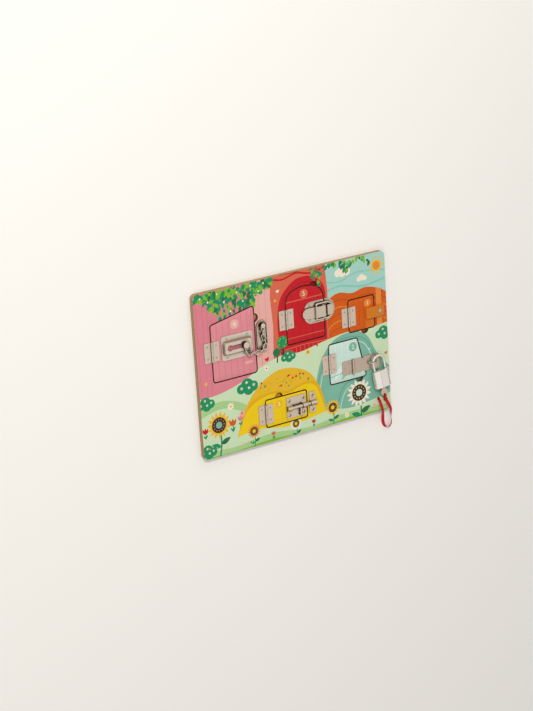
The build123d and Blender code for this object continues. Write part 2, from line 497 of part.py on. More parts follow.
nodes["toggle_catch"] = minus(catch, add_screws([(cx0 + 7.2, oy + s * 14.6) for s in (-1, 1)]))

# ---- ribbon: a loop from a hole in the board to the key ----
RIBBON_HOLE = (172.8, -125.6, 2.6)
RIBBON_R = 1.2
key_eye = pad.from_local_coords(Vector(mid, foot - KEY["drop"] - 4.2, 0))
# its points were chosen by hand: out of the hole, over the board's edge, round on the table and back
RIBBON = [(RIBBON_HOLE[0], RIBBON_HOLE[1], BACK_T), (RIBBON_HOLE[0], RIBBON_HOLE[1], TOP + 2.4),
          (175.0, -134.8, TOP + 3.6), (178.6, -147.0, TOP + 4.4), (182.2, -160.3, 8.6), (184.8, -173.2, 1.9),
          (187.6, -184.4, 1.7), (193.6, -189.2, 1.7), (201.0, -187.6, 1.7), (204.8, -181.2, 1.7),
          (204.4, -171.2, 2.2), (200.6, -159.4, 9.4), (195.8, -147.6, TOP + 4.6), (190.6, -136.6, TOP + 3.8),
          (185.8, -126.4, TOP + 2.4), (key_eye.X, key_eye.Y, TOP + 2.8), (key_eye.X, key_eye.Y, TOP + 10.4)]


def round_path(pts):
    """Corner radius for every inner point: 0.45 of the shorter run over tan(half the turn)."""
    v = [Vector(*p) for p in pts]
    out = []
    for p, q, s in zip(v, v[1:], v[2:]):
        i, o = q - p, s - q
        half = radians(i.get_angle(o)) / 2
        out.append(0.45 * min(i.length, o.length) / tan(half))
    return out


radii = round_path(RIBBON)
ribbon_path = FilletPolyline(*RIBBON, radius=radii)
away = Vector(*RIBBON[1]) - Vector(*RIBBON[0])
nodes["ribbon"] = sweep(Plane(origin=RIBBON[0], z_dir=away) * Circle(RIBBON_R), ribbon_path)
print("ribbon length", round(ribbon_path.length, 1), "radii", [round(r, 1) for r in radii])
print("ribbon volume over section x length",
      round(nodes["ribbon"].volume / (pi * RIBBON_R ** 2 * ribbon_path.length), 4))

# ---- board, doors and screws ----
board = RectangleRounded(BOARD_W, BOARD_H, BOARD_R)
rx, ry, rr = RIBBON_HOLE
nodes["back_panel"] = prism(board, 0, BACK_T)
face = prism(board, BACK_T, TOP)
for n, spec in DOORS.items():
    cut = outline(spec)
    face = face - prism(offset(cut, SAW / 2), BACK_T - 1, TOP + 1)
    nx, ny = spec["notch"]
    face = face - rod((nx, ny, BACK_T - 1), (nx, ny, TOP + 1), NOTCH_R)
    door = prism(offset(cut, -SAW / 2), DOOR_Z, TOP)
    nodes[f"door_{n}"] = minus(door, holes_door[n])
    nodes[f"door_{n}_screws"] = compound(screws_door[n])
face = face - rod((rx, ry, BACK_T - 1), (rx, ry, TOP + 1), rr)
nodes["face_board"] = minus(face, holes_face)
nodes["face_screws"] = compound(screws_face)

for name, shape in nodes.items():
    solids = shape.solids()
    if len(solids) > 1 and not isinstance(shape, Compound):
        shape = Compound(children=solids)
    export_step(shape, f"parts/{name}.step")
print(len(nodes), "nodes")
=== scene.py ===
import random
from functools import partial
from math import atan2, cos, degrees, pi, radians, sin, sqrt

import bmesh
import bpy
from mathutils import Matrix, Vector
from mathutils.geometry import delaunay_2d_cdt


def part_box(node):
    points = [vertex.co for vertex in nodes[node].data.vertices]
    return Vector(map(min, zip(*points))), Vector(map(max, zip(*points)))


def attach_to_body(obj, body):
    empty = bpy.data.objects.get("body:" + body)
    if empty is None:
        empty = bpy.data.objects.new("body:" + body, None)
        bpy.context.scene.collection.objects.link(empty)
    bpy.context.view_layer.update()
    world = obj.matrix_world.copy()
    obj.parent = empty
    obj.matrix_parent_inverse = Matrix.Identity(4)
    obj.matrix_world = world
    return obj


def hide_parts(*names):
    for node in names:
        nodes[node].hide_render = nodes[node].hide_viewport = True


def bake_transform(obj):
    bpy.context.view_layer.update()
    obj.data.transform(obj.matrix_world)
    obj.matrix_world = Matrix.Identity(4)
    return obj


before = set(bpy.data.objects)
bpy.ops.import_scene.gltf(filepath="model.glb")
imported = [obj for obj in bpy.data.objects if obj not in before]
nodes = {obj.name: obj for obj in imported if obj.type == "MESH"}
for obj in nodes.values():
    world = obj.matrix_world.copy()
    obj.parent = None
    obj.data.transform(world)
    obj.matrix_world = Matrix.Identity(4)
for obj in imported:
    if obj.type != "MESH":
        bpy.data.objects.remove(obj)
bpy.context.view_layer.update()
mm = 0.001
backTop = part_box("back_panel")[1][2] / mm
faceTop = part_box("face_board")[1][2] / mm          # the printed face, above the board's back
doorNumbers = (1, 2, 3, 4, 5)


# finishes
def linear(hexText, share=1.0):
    parts = [int(hexText[i:i + 2], 16) / 255 for i in (1, 3, 5)]
    return tuple(share * (c / 12.92 if c <= 0.04045 else ((c + 0.055) / 1.055) ** 2.4) for c in parts) + (1.0,)


def addNode(tree, kind, inputs=None, stops=(), **settings):
    # an input takes a value, a socket, or a node, which stands for its first output
    node = tree.nodes.new("ShaderNode" + kind)
    for key, value in settings.items():
        setattr(node, key, value)
    for key, value in (inputs or {}).items():
        if isinstance(value, bpy.types.Node):
            value = value.outputs[0]
        if isinstance(value, bpy.types.NodeSocket):
            tree.links.new(value, node.inputs[key])
        else:
            node.inputs[key].default_value = value
    if stops:
        marks = node.color_ramp.elements
        while len(marks) < len(stops):
            marks.new(0.5)
        for mark, (place, colour) in zip(marks, stops):
            mark.position, mark.color = place, colour
    return node


def newMaterial(name):
    material = bpy.data.materials.new(name)
    material.use_nodes = True
    material.node_tree.nodes.clear()
    return material, partial(addNode, material.node_tree)


def surface(material, add, inputs):
    add("OutputMaterial", {0: add("BsdfPrincipled", inputs)})
    return material


def objectPoint(add, perMetre=(1, 1, 1)):
    # the object's own space; perMetre is how often a pattern of scale 1 repeats along x, y and z
    return add("Mapping", {"Vector": add("TexCoord").outputs["Object"], "Scale": perMetre})


inkSettings = dict(fibreLength=30.0, fibreWidth=0.9, fibreDepth=5.0, mottle=14.0, dark=0.945, light=1.03,
                   roughness=0.46, relief=0.03, gloss=0.22, ior=1.46)


def printedInk(name, colour):
    # varnished print on birch plywood: flat colour, with the veneer's fibres just showing through
    s = inkSettings
    material, add = newMaterial("printedInk" + name)
    fibreSpace = objectPoint(add, [1 / (s[side] * mm) for side in ("fibreLength", "fibreWidth", "fibreDepth")])
    fibre = add("TexNoise", {"Vector": fibreSpace, "Scale": 1.0, "Detail": 4.0, "Roughness": 0.6})
    mottle = add("TexNoise", {"Vector": objectPoint(add), "Scale": 1 / (s["mottle"] * mm), "Detail": 3.0})
    both = add("Math", {0: fibre, 1: mottle}, operation="ADD")
    shade = add("MapRange", {0: both, 3: 0.0, 4: 0.5})
    light = tuple(min(1.0, c * s["light"] + 0.002) for c in linear(colour)[:3]) + (1.0,)
    return surface(material, add, {
        "Base Color": add("ValToRGB", {0: shade}, stops=[(0.36, linear(colour, s["dark"])), (0.62, light)]),
        "Roughness": add("MapRange", {0: fibre, 3: s["roughness"] - 0.06, 4: s["roughness"] + 0.1}),
        "Normal": add("Bump", {"Height": fibre, "Distance": s["relief"] * mm, "Strength": 0.5}),
        "IOR": s["ior"], "Specular IOR Level": s["gloss"]})


def plated(material, add, body, pattern, roughness, relief, edge, reach, span):
    # painted shade: the plated metal's colour turns dark brown in corners, recesses and under other parts, where
    # shade falls, within reach mm; span is the openness at which the painted shade starts to fade and is gone; edge
    # is the rounding of its edges
    # painted shade: where the surfaces around hem the metal in, its colour is mixed towards dark brown
    openness = add("AmbientOcclusion", {"Distance": reach * mm}, samples=8).outputs["AO"]
    wearAndPaintedShade = add("MapRange", {0: openness, 1: span[0], 2: span[1]})
    colour = add("Mix", {0: wearAndPaintedShade, 6: linear("#3E352E"), 7: body.outputs[2]}, data_type="RGBA")
    rounded = add("Bevel", {"Radius": edge * mm}, samples=4)
    return surface(material, add, {
        "Base Color": colour.outputs[2], "Metallic": 1.0,
        "Roughness": add("MapRange", {0: pattern, 3: roughness[0], 4: roughness[1]}),
        "Normal": add("Bump", {"Height": pattern, "Distance": relief[0] * mm, "Strength": relief[1],
                               "Normal": rounded})})


def satinNickel(name, colour, grain=(40, 900, 40), roughness=0.30, edge=0.22, reach=5.0, span=(0.15, 0.80)):
    # nickel-plated sheet steel, tumbled: soft grey-beige sheen, fine drawing lines (grain of them to the metre),
    # bright edges rounded off by wear, and painted shade in its corners and under other parts
    material, add = newMaterial(name)
    lines = add("TexNoise", {"Vector": objectPoint(add, grain), "Scale": 1.0, "Detail": 5.0, "Roughness": 0.65})
    cloud = add("TexNoise", {"Vector": objectPoint(add), "Scale": 1 / (6 * mm), "Detail": 3.0})
    body = add("Mix", {0: cloud, 6: linear(colour, 0.88), 7: linear(colour)}, data_type="RGBA")
    return plated(material, add, body, lines, (roughness - 0.05, roughness + 0.12), (0.02, 0.35), edge, reach, span)


def brightPlate(name, colour, roughness, edge=0.3, reach=4.0, span=(0.15, 0.80)):
    # bright nickel or chrome plate on wire and rod: near-mirror, with faint handling haze, and painted shade in its
    # corners and under other parts
    material, add = newMaterial(name)
    haze = add("TexNoise", {"Vector": objectPoint(add), "Scale": 1 / (2.5 * mm), "Detail": 6.0, "Roughness": 0.7})
    body = add("Mix", {0: haze, 6: linear(colour, 0.9), 7: linear(colour)}, data_type="RGBA")
    return plated(material, add, body, haze, (roughness * 0.7, roughness * 1.7), (0.01, 0.15), edge, reach, span)


def plyEdge(name, plies, low, high, char):
    # sawn plywood edge from low to high: veneers by turns along and across the grain, browned by the laser where
    # char is high
    material, add = newMaterial(name)
    where = add("SeparateXYZ", {0: add("TexCoord").outputs["Object"]})
    level = add("MapRange", {0: where.outputs[2], 1: low * mm, 2: high * mm})
    turns = add("Math", {0: level, 1: plies / 2}, operation="MULTIPLY")
    pair = add("Math", {0: turns}, operation="FRACT")
    pores = add("TexNoise", {"Vector": objectPoint(add, (900, 900, 260)), "Scale": 1.0, "Detail": 4.0})
    pale, deep, glue = linear("#D9B98A"), linear("#B98F5E"), linear("#7A5433")
    veneer = add("ValToRGB", {0: pair}, stops=[(0.0, glue), (0.03, pale), (0.48, pale), (0.50, glue), (0.53, deep),
                                               (0.98, deep)])
    poreShade = add("MapRange", {0: pores, 3: 0.0, 4: 0.35})
    fibre = add("Mix", {0: poreShade, 6: veneer, 7: linear("#8C6238")}, data_type="RGBA", blend_type="MULTIPLY")
    soot = add("Mix", {0: pores, 6: linear("#2E130B"), 7: linear("#5A2B1B")}, data_type="RGBA")
    wood = add("Mix", {0: char, 6: fibre.outputs[2], 7: soot.outputs[2]}, data_type="RGBA")
    return surface(material, add, {
        "Base Color": wood.outputs[2], "Roughness": 0.72,
        "Normal": add("Bump", {"Height": pores, "Distance": 0.08 * mm, "Strength": 0.5})})


def birchVeneer(name, colour, lineGap=4.0):
    # bare sanded birch: long wavy grain lines lineGap mm apart, fine short pores between them
    material, add = newMaterial(name)
    warp = add("TexNoise", {"Vector": objectPoint(add, (9, 26, 1)), "Scale": 1.0, "Detail": 3.0})
    drift = add("MapRange", {0: warp, 3: 0, 4: 0.03})
    bent = add("Math", {0: drift, 1: add("SeparateXYZ", {0: objectPoint(add)}).outputs[1]}, operation="ADD")
    across = add("Math", {0: bent, 1: 1 / (lineGap * mm)}, operation="MULTIPLY")
    lines = add("TexNoise", noise_dimensions="1D", inputs={"W": across, "Scale": 1.0, "Detail": 4.0})
    pores = add("TexNoise", {"Vector": objectPoint(add, (60, 1400, 60)), "Scale": 1.0, "Detail": 3.0})
    deep = tuple(c * m for c, m in zip(linear(colour), (0.72, 0.62, 0.52, 1.0)))
    grain = add("ValToRGB", {0: lines}, stops=[(0.34, deep), (0.62, linear(colour))])
    poreShade = add("MapRange", {0: pores, 3: 0.0, 4: 0.3})
    return surface(material, add, {
        "Base Color": add("Mix", {0: poreShade, 6: grain, 7: deep}, data_type="RGBA").outputs[2],
        "Roughness": add("MapRange", {0: pores, 3: 0.5, 4: 0.68}),
        "Normal": add("Bump", {"Height": pores, "Distance": 0.05 * mm, "Strength": 0.4})})


def wovenSatin(name, colour, rib=0.7):
    # narrow polyester satin ribbon: cross ribs rib mm apart, drawn coarser than life so that they show
    material, add = newMaterial(name)
    along = add("Attribute", attribute_name="along").outputs["Fac"]
    ribs = add("Math", {0: add("Math", {0: along, 1: 2 * pi / rib}, operation="MULTIPLY")}, operation="SINE")
    cloud = add("TexNoise", {"Vector": objectPoint(add), "Scale": 1 / (5 * mm), "Detail": 3.0})
    weave = add("Mix", {0: cloud, 6: linear(colour, 0.74), 7: linear(colour)}, data_type="RGBA")
    return surface(material, add, {
        "Base Color": weave.outputs[2], "Roughness": 0.42, "Sheen Weight": 0.08, "Sheen Roughness": 0.4,
        "Specular IOR Level": 0.3, "Normal": add("Bump", {"Height": ribs, "Distance": 0.05 * mm, "Strength": 0.4})})


boardEdge = plyEdge("plywoodOuterEdge", plies=5, low=4, high=10, char=0.12)
backEdge = plyEdge("backSheetEdge", plies=3, low=0, high=4, char=0.12)
sawnEdge = plyEdge("laserSawnEdge", plies=5, low=4, high=10, char=0.86)
bareBirch = birchVeneer("bareBirchVeneer", "#D8BC90")
# reach and span set how far each metal's painted shade spreads into its corners and under other parts
hingeNickel = satinNickel("satinNickelHinge", "#E2D0BE", (900, 40, 40), span=(0.35, 0.92))
haspNickel = satinNickel("satinNickelHasp", "#D0BEAC", roughness=0.36)
guardNickel = satinNickel("pressedNickelGuard", "#E4D6C4", (30, 700, 30), 0.25, 0.5, reach=8.0, span=(0.55, 0.95))
boltNickel = satinNickel("satinNickelBolt", "#E0D0BC", (30, 800, 30), 0.26, 0.4, reach=9.0, span=(0.30, 0.90))
toggleNickel = satinNickel("satinNickelToggle", "#DCCDBA", (30, 800, 30), 0.28, 0.5, reach=7.0)
screwNickel = satinNickel("nickelScrew", "#D2C4B0", (300, 300, 300), 0.28, 0.15)
keyNickel = satinNickel("stampedKeyNickel", "#D8C6B4", (200, 200, 200), 0.32, 0.35)
wireNickel = brightPlate("brightNickelWire", "#E6DAC8", roughness=0.17)
shackleChrome = brightPlate("hardenedShackleChrome", "#F3F0EA", roughness=0.19)
padlockChrome = satinNickel("satinChromeLockBody", "#F6F1EB", (30, 500, 30), 0.24, 0.25)
lockBrass = satinNickel("machinedLockBrass", "#C9A766", (200, 200, 200), 0.3, 0.2)
ribbonSatin = wovenSatin("redSatinRibbon", "#D20F17")
print("materials made:", len(bpy.data.materials))


# outlines, in millimetres
def disc(x, y, r, steps=40):
    return [(x + r * cos(2 * pi * i / steps), y + r * sin(2 * pi * i / steps)) for i in range(steps)]


def leaf(x, y, length, width, turn, steps=7):
    c, s = cos(radians(turn)), sin(radians(turn))
    side = [(length * i / steps, width / 2 * sin(pi * (i / steps) ** 0.8)) for i in range(steps + 1)]
    loop = side + [(a, -b) for a, b in side[-2:0:-1]]
    return [(x + a * c - b * s, y + a * s + b * c) for a, b in loop]


def star(x, y, r, inner=0.45, turn=90, points=5):
    out = []
    for i in range(2 * points):
        radius, a = r if i % 2 == 0 else r * inner, radians(turn + 180 * i / points)
        out.append((x + radius * cos(a), y + radius * sin(a)))
    return out


def smooth(knots, steps=8):
    # a curve through the knots
    out = []
    for i in range(len(knots) - 1):
        p0, p1, p2, p3 = (Vector(knots[max(0, min(len(knots) - 1, j))]) for j in (i - 1, i, i + 1, i + 2))
        for k in range(steps):
            t = k / steps
            out.append(tuple(0.5 * (2 * p1 + (p2 - p0) * t + (2 * p0 - 5 * p1 + 4 * p2 - p3) * t ** 2
                                    + (3 * p1 - 3 * p2 + p3 - p0) * t ** 3)))
    return out + [tuple(knots[-1])]


def under(knots, floor):
    top = smooth(knots)
    return top + [(top[-1][0], floor), (top[0][0], floor)]


def stroke(knots, width):
    line = [Vector(p) for p in smooth(knots)]
    left, right = [], []
    for i, p in enumerate(line):
        d = (line[min(i + 1, len(line) - 1)] - line[max(i - 1, 0)]).normalized() * (width / 2)
        left.append((p.x - d.y, p.y + d.x))
        right.append((p.x + d.y, p.y - d.x))
    return left + right[::-1]


def bar(x0, x1, y0, y1):
    return [(x0, y0), (x1, y0), (x1, y1), (x0, y1)]


def roundedBar(x0, x1, y0, y1, r, steps=5):
    corners = ((x1 - r, y1 - r, 0), (x0 + r, y1 - r, 90), (x0 + r, y0 + r, 180), (x1 - r, y0 + r, 270))
    turns = [(x, y, radians(start + 90 * i / steps)) for x, y, start in corners for i in range(steps + 1)]
    return [(x + r * cos(a), y + r * sin(a)) for x, y, a in turns]


def offsetLoop(loop, distance):
    out = []
    for i, p in enumerate(loop):
        a, b, c = Vector(loop[i - 1]), Vector(p), Vector(loop[(i + 1) % len(loop)])
        n1, n2 = ((q - r).normalized() for q, r in ((b, a), (c, b)))
        n = Vector((n1.y + n2.y, -n1.x - n2.x))
        n = n.normalized() / max(0.5, sqrt(max(0.25, (1 + n1.dot(n2)) / 2)))
        out.append((p[0] + n.x * distance, p[1] + n.y * distance))
    return out


def area(loop):
    return sum(p[0] * q[1] - q[0] * p[1] for p, q in zip(loop, loop[1:] + loop[:1])) / 2


def anticlockwise(loop):
    return loop if area(loop) > 0 else loop[::-1]


def welded(node):
    work = bmesh.new()
    work.from_mesh(nodes[node].data)
    bmesh.ops.remove_doubles(work, verts=work.verts, dist=1e-6)
    return work


def topLoops(node):
    # outlines of a board's top face, anticlockwise, largest first
    work = welded(node)
    top = max(v.co.z for v in work.verts)
    flat = {f for f in work.faces if all(v.co.z > top - 1e-5 for v in f.verts)}
    rim = {}
    for edge in work.edges:
        if sum(f in flat for f in edge.link_faces) == 1:
            a, b = (v.index for v in edge.verts)
            rim.setdefault(a, []).append(b)
            rim.setdefault(b, []).append(a)
    places = {v.index: (v.co.x / mm, v.co.y / mm) for v in work.verts}
    work.free()
    loops, seen = [], set()
    for first in rim:
        if first in seen:
            continue
        loop, here = [], first
        while here is not None:
            seen.add(here)
            loop.append(places[here])
            here = next((n for n in rim[here] if n not in seen), None)
        loops.append(anticlockwise(loop))
    return sorted(loops, key=area, reverse=True)


def triangulate(loops, tolerance):
    # fills nested loops with triangles; origins and owners say which loops a point and a triangle come from
    points, faces = [], []
    for loop in loops:
        faces.append(list(range(len(points), len(points) + len(loop))))
        points += [Vector(p) for p in loop]
    flat, _, tris, origins, _, owners = delaunay_2d_cdt(points, [], faces, 0, tolerance, True)
    return flat, tris, origins, owners


def meshFrom(work, name, finishes, sharp):
    mesh = bpy.data.meshes.new(name)
    work.to_mesh(mesh)
    work.free()
    for finish in finishes:
        mesh.materials.append(finish)
    shadeSmooth(mesh, sharp)
    return mesh


def shadeSmooth(mesh, sharp):
    # smooth but for the edges that turn by more than sharp degrees
    for polygon in mesh.polygons:
        polygon.use_smooth = True
    mesh.set_sharp_from_angle(angle=radians(sharp))


def addObject(name, data):
    made = bpy.data.objects.new(name, data)
    bpy.context.scene.collection.objects.link(made)
    return made


def meshOf(data):
    # the mesh that a curve or a text makes
    holder = addObject(data.name, data)
    mesh = bpy.data.meshes.new_from_object(holder.evaluated_get(bpy.context.evaluated_depsgraph_get()))
    bpy.data.objects.remove(holder)
    return mesh


def attach(name, mesh, body, slotName, *replaced):
    piece = addObject(name, mesh)
    if body:
        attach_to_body(piece, body)
    if replaced:
        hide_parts(*replaced)
    return piece


# camera, floor and lamps
cameraSettings = dict(place=(-1.79050, 1.11691, 2.83894), right=(0.84064, -0.06143, 0.53810),
                      up=(0.21990, 0.94668, -0.23546), back=(-0.49495, 0.31626, 0.80932),
                      focal=2000.0, frameHeight=711.0, sensor=36.0)


def makeCamera():
    s = cameraSettings
    data = bpy.data.cameras.new("studioCamera")
    data.sensor_fit, data.sensor_width = "AUTO", s["sensor"]
    data.lens = s["focal"] * s["sensor"] / s["frameHeight"]      # the upright frame's long side takes the sensor
    data.clip_start, data.clip_end = 0.05, 50
    camera = addObject("studioCamera", data)
    axes = Matrix((s["right"], s["up"], s["back"])).transposed().to_4x4()
    camera.matrix_world = Matrix.Translation(s["place"]) @ axes
    bpy.context.scene.camera = camera


def seenRays(add):
    # 1 for rays from the camera and from mirrors and glass, which see the plain background
    path = add("LightPath")
    seen = add("Math", {0: path.outputs["Is Camera Ray"], 1: path.outputs["Is Glossy Ray"]}, operation="MAXIMUM")
    return path, add("Math", {0: seen, 1: path.outputs["Is Transmission Ray"]}, operation="MAXIMUM")


floorSettings = dict(half=6.0, drop=0.4, lit="#B9B8B4", seen="#FBFAF7")


def makeFloor():
    # matt paper sweep, which the camera and the metal see as near-white and which keeps the part's shadow
    s = floorSettings
    material, add = newMaterial("paleStudioPaper")
    _, seen = seenRays(add)
    colour = add("Mix", {0: seen, 6: linear(s["lit"]), 7: linear(s["seen"])}, data_type="RGBA")
    mesh = bpy.data.meshes.new("studioFloor")
    work = bmesh.new()
    bmesh.ops.create_grid(work, x_segments=4, y_segments=4, size=s["half"])
    work.to_mesh(mesh)
    work.free()
    mesh.materials.append(surface(material, add, {"Base Color": colour.outputs[2], "Roughness": 0.9}))
    floor = addObject("studioFloor", mesh)
    floor.location.z = -s["drop"] * mm


# each lamp: place, width, watts, and whether metal mirrors it
lampSettings = dict(
    even="#F8F6F2", evenLevel=0.52, seen="#F7F5F1", seenLevel=1.0, lampColour="#FFFBF4", bright=(-0.12, 0.25, 0.96),
    studio=[(0.28, "#2E2A27"), (0.48, "#6E6862"), (0.65, "#C9C5BE"), (0.82, "#F0EDE8"), (0.95, "#FFFFFF")],
    lamps=dict(keySoftbox=((-1.1, 1.9, 2.3), 0.55, 41, False), keyGlint=((-1.1, 1.9, 2.3), 0.9, 4, True),
               sideSoftbox=((-1.5, -0.9, 2.3), 0.8, 5, False), sideGlint=((-1.5, -0.9, 2.3), 0.8, 3, True),
               rimSoftbox=((0.4, 2.5, 1.1), 0.8, 8, False)))


def makeLamps():
    s, scene = lampSettings, bpy.context.scene
    scene.world = bpy.data.worlds.new("softStudio")
    scene.world.use_nodes = True
    scene.world.node_tree.nodes.clear()
    add = partial(addNode, scene.world.node_tree)
    # even light on matt faces; metal sees a studio that is bright overhead and darker towards the floor
    aim = add("VectorMath", {0: add("TexCoord").outputs["Generated"], 1: s["bright"]}, operation="DOT_PRODUCT")
    level = add("MapRange", {0: aim.outputs["Value"], 1: -1.0, 2: 1.0})
    studio = add("ValToRGB", {0: level}, stops=[(place, linear(colour)) for place, colour in s["studio"]])
    path, seen = seenRays(add)
    matt = add("Mix", {0: path.outputs["Is Camera Ray"], 6: linear(s["even"]), 7: linear(s["seen"])},
               data_type="RGBA")
    colour = add("Mix", {0: path.outputs["Is Glossy Ray"], 6: matt.outputs[2], 7: studio}, data_type="RGBA")
    strength = add("MapRange", {0: seen, 3: s["evenLevel"], 4: s["seenLevel"]})
    add("OutputWorld", {0: add("Background", {0: colour.outputs[2], 1: strength})})
    # the softboxes light the matt faces; metal sees the studio and two weak glints, so no flat plate burns out
    for name, (place, width, watts, mirrored) in s["lamps"].items():
        lamp = bpy.data.lights.new(name, "AREA")
        lamp.shape, lamp.size, lamp.energy, lamp.color = "DISK", width, watts, linear(s["lampColour"])[:3]
        holder = addObject(name, lamp)
        holder.location, holder.visible_glossy, holder.rotation_mode = place, mirrored, "QUATERNION"
        holder.rotation_quaternion = (-Vector(place)).to_track_quat("-Z", "Y")
    scene.view_settings.view_transform = "Standard"


makeCamera()
makeFloor()
makeLamps()
print("camera, floor and lamps made")

# ribbon: out of its hole, over the board's edge, round on the table and back up to the key
ribbonSettings = dict(width=5.5, thickness=0.32, length=0.1697, knot=(0.1868, -0.1292, 0.0131),
                      knotAlong=(0.43, -0.90, 0.06), knotPoints=22)
keyEye = (0.18131, -0.11666)
ribbonRoute = [
    (0.1728, -0.1256, 0.004), (0.1728, -0.1256, 0.0124), (0.1750, -0.1348, 0.0136),
    (0.1786, -0.1470, 0.0144), (0.1822, -0.1603, 0.0086), (0.1848, -0.1732, 0.0030),
    (0.1876, -0.1844, 0.0031), (0.1936, -0.1892, 0.0031), (0.2010, -0.1876, 0.0031),
    (0.2048, -0.1812, 0.0031), (0.2044, -0.1712, 0.0033), (0.2006, -0.1594, 0.0094),
    (0.1958, -0.1476, 0.0146), (0.1906, -0.1366, 0.0138), (0.1858, -0.1264, 0.0124),
    (*keyEye, 0.0128), (*keyEye, 0.0204)]


def routePoints(route, density=14):
    data = bpy.data.curves.new("routeLine", "CURVE")
    data.dimensions = "3D"
    spline = data.splines.new("NURBS")
    spline.points.add(len(route) - 1)
    for point, place in zip(spline.points, route):
        point.co = (*place, 1)
    spline.order_u, spline.use_endpoint_u = 3, True
    spline.resolution_u = density
    return [v.co.copy() for v in meshOf(data).vertices]


def bandMesh(name, line, width, thickness, rollAt=None, widthAt=None, side=None, cup=0.25, across=8):
    # flat woven band, square to its line; rollAt turns it and widthAt narrows it by share of its length
    work = bmesh.new()
    lengths = [0.0]
    for p, q in zip(line, line[1:]):
        lengths.append(lengths[-1] + (q - p).length)
    steps = [2 * k / across - 1 for k in range(across + 1)]
    rows = []
    for i, p in enumerate(line):
        along = (line[min(i + 1, len(line) - 1)] - line[max(i - 1, 0)]).normalized()
        if side is None:
            side = along.cross(Vector((0.2, -1, 0)).normalized())
        side = (side - along * side.dot(along)).normalized()
        share = lengths[i] / lengths[-1]
        w = Matrix.Rotation(rollAt(share) if rollAt else 0.0, 3, along) @ side
        half = width / 2 * (widthAt(share) if widthAt else 1.0)
        n = w.cross(along)
        loop = [p + w * (t * half) + n * (thickness / 2 + cup * mm * (1 - t * t)) for t in steps]
        loop += [p + w * (t * half) + n * (-thickness / 2 + cup * mm * (1 - t * t)) for t in reversed(steps)]
        rows.append([work.verts.new(v) for v in loop])
    for a, b in zip(rows, rows[1:]):
        for k in range(len(a)):
            work.faces.new([a[k], a[(k + 1) % len(a)], b[(k + 1) % len(a)], b[k]])
    work.faces.new(rows[0][::-1])
    work.faces.new(rows[-1])
    bmesh.ops.recalc_face_normals(work, faces=work.faces)
    mesh = meshFrom(work, name, [ribbonSatin], 40)
    distances = mesh.attributes.new("along", "FLOAT", "POINT")          # millimetres from the start, for the ribs
    distances.data.foreach_set("value", [far / mm for far, row in zip(lengths, rows) for _ in row])
    return mesh


def ribbonRoll(share):
    # the band stands on edge round its free end and lies flat over the board's edge
    return radians(76) * max(0.0, sin(pi * min(1, max(0, (share - 0.22) / 0.56)))) ** 1.5


def ribbonNip(share):
    # gathered where it is pulled through the key's small hole
    return 1.0 - 0.42 * min(1.0, max(0.0, (share - 0.90) / 0.05))


def ribbonPiece(name, line, body, **shape):
    s = ribbonSettings
    mesh = bandMesh(name, line, s["width"] * mm, s["thickness"] * mm, **shape)
    return attach(name, mesh, body, "ribbon_fabric")


ribbonLine = routePoints(ribbonRoute)
ribbonBand = ribbonPiece("ribbonBand", ribbonLine, None, rollAt=ribbonRoll, widthAt=ribbonNip)
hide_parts("ribbon")
# the run from the hole stays with the board, and the run to the key follows the padlock as it swings
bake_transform(ribbonBand)

knotPlace, knotAlong = Vector(ribbonSettings["knot"]), Vector(ribbonSettings["knotAlong"]).normalized()
knotAcross = knotAlong.cross(Vector((0, 0, 1))).normalized()
knotUp = knotAcross.cross(knotAlong)
turnRoute = [(keyEye[0] + dx, keyEye[1] + dy, z) for dx, dy, z in
             ((0, 0, 0.0192), (0.0001, -0.0008, 0.0213), (0.0007, -0.0037, 0.0210), (0.0024, -0.0078, 0.0172))]
turnRoute += [tuple(knotPlace + knotUp * 0.0013 - knotAlong * 0.001),
              tuple(knotPlace + knotUp * 0.0009 + knotAlong * 0.003)]
ribbonTurn = ribbonPiece("ribbonTurn", routePoints(turnRoute), "key", side=Vector((1, 0.1, 0)),
                         widthAt=lambda share: 0.62 + 0.3 * min(1.0, share / 0.6))
knotRoute = []
knotEnd = ribbonSettings["knotPoints"] - 1
for step in range(knotEnd + 1):
    # a flat coil of 40 degrees a step, whose size wavers a little so that the turns cross
    angle, slide = radians(40 * step + 60), 0.0026 * (step / knotEnd - 0.5)
    knotRoute.append(tuple(knotPlace + knotAcross * (0.0031 + 0.0002 * (step % 3)) * cos(angle)
                           + knotUp * (0.0021 + 0.0002 * (step % 2)) * sin(angle) + knotAlong * slide))
ribbonKnot = ribbonPiece("ribbonKnot", routePoints(knotRoute, 6), "key", side=knotAlong,
                         widthAt=lambda share: 0.72 + 0.12 * sin(9 * share))
print("ribbon made:", round(sum((q - p).length for p, q in zip(ribbonLine, ribbonLine[1:])) / mm, 1), "mm")

# the print: a made-up garden of hills, in regions of flat ink
inkColours = dict(
    DoorPink="#E08D97", Straw="#E8B92B", Tan="#D5741F", Mist="#E0F0EA", Clay="#C98579", ButtonOrange="#D37A22",
    Ground="#CCE2BC", Sky="#A6D4CA", Sun="#EDBB2B", Cream="#F4EAD6", Orange="#D45C14", Rust="#B04A16",
    Amber="#E58B3A", Red="#C61B26", Crimson="#9C1825", Salmon="#D8694F", Pink="#DC8290", Rose="#C76577",
    Blush="#E8AFA6", Yellow="#F0CC14", Gold="#E3AE16", Aqua="#CBE5DA", Teal="#7DB7A2", Pine="#4F9A80",
    Meadow="#A9CF8E", Leaf="#1F8F5F", Lime="#7DBB2F", Moss="#2C6B45", Bark="#3A2C2A", Char="#4A2018",
    Wash="#8CCBBE")
ink = {name: printedInk(name, colour) for name, colour in inkColours.items()}
draws = random.Random(41)


def around(x, y, reach, count, turn=0.0):
    # places round a centre, each with the direction it faces
    turns = [2 * pi * i / count + turn for i in range(count)]
    return [(x + reach * cos(a), y + reach * sin(a), degrees(a)) for a in turns]


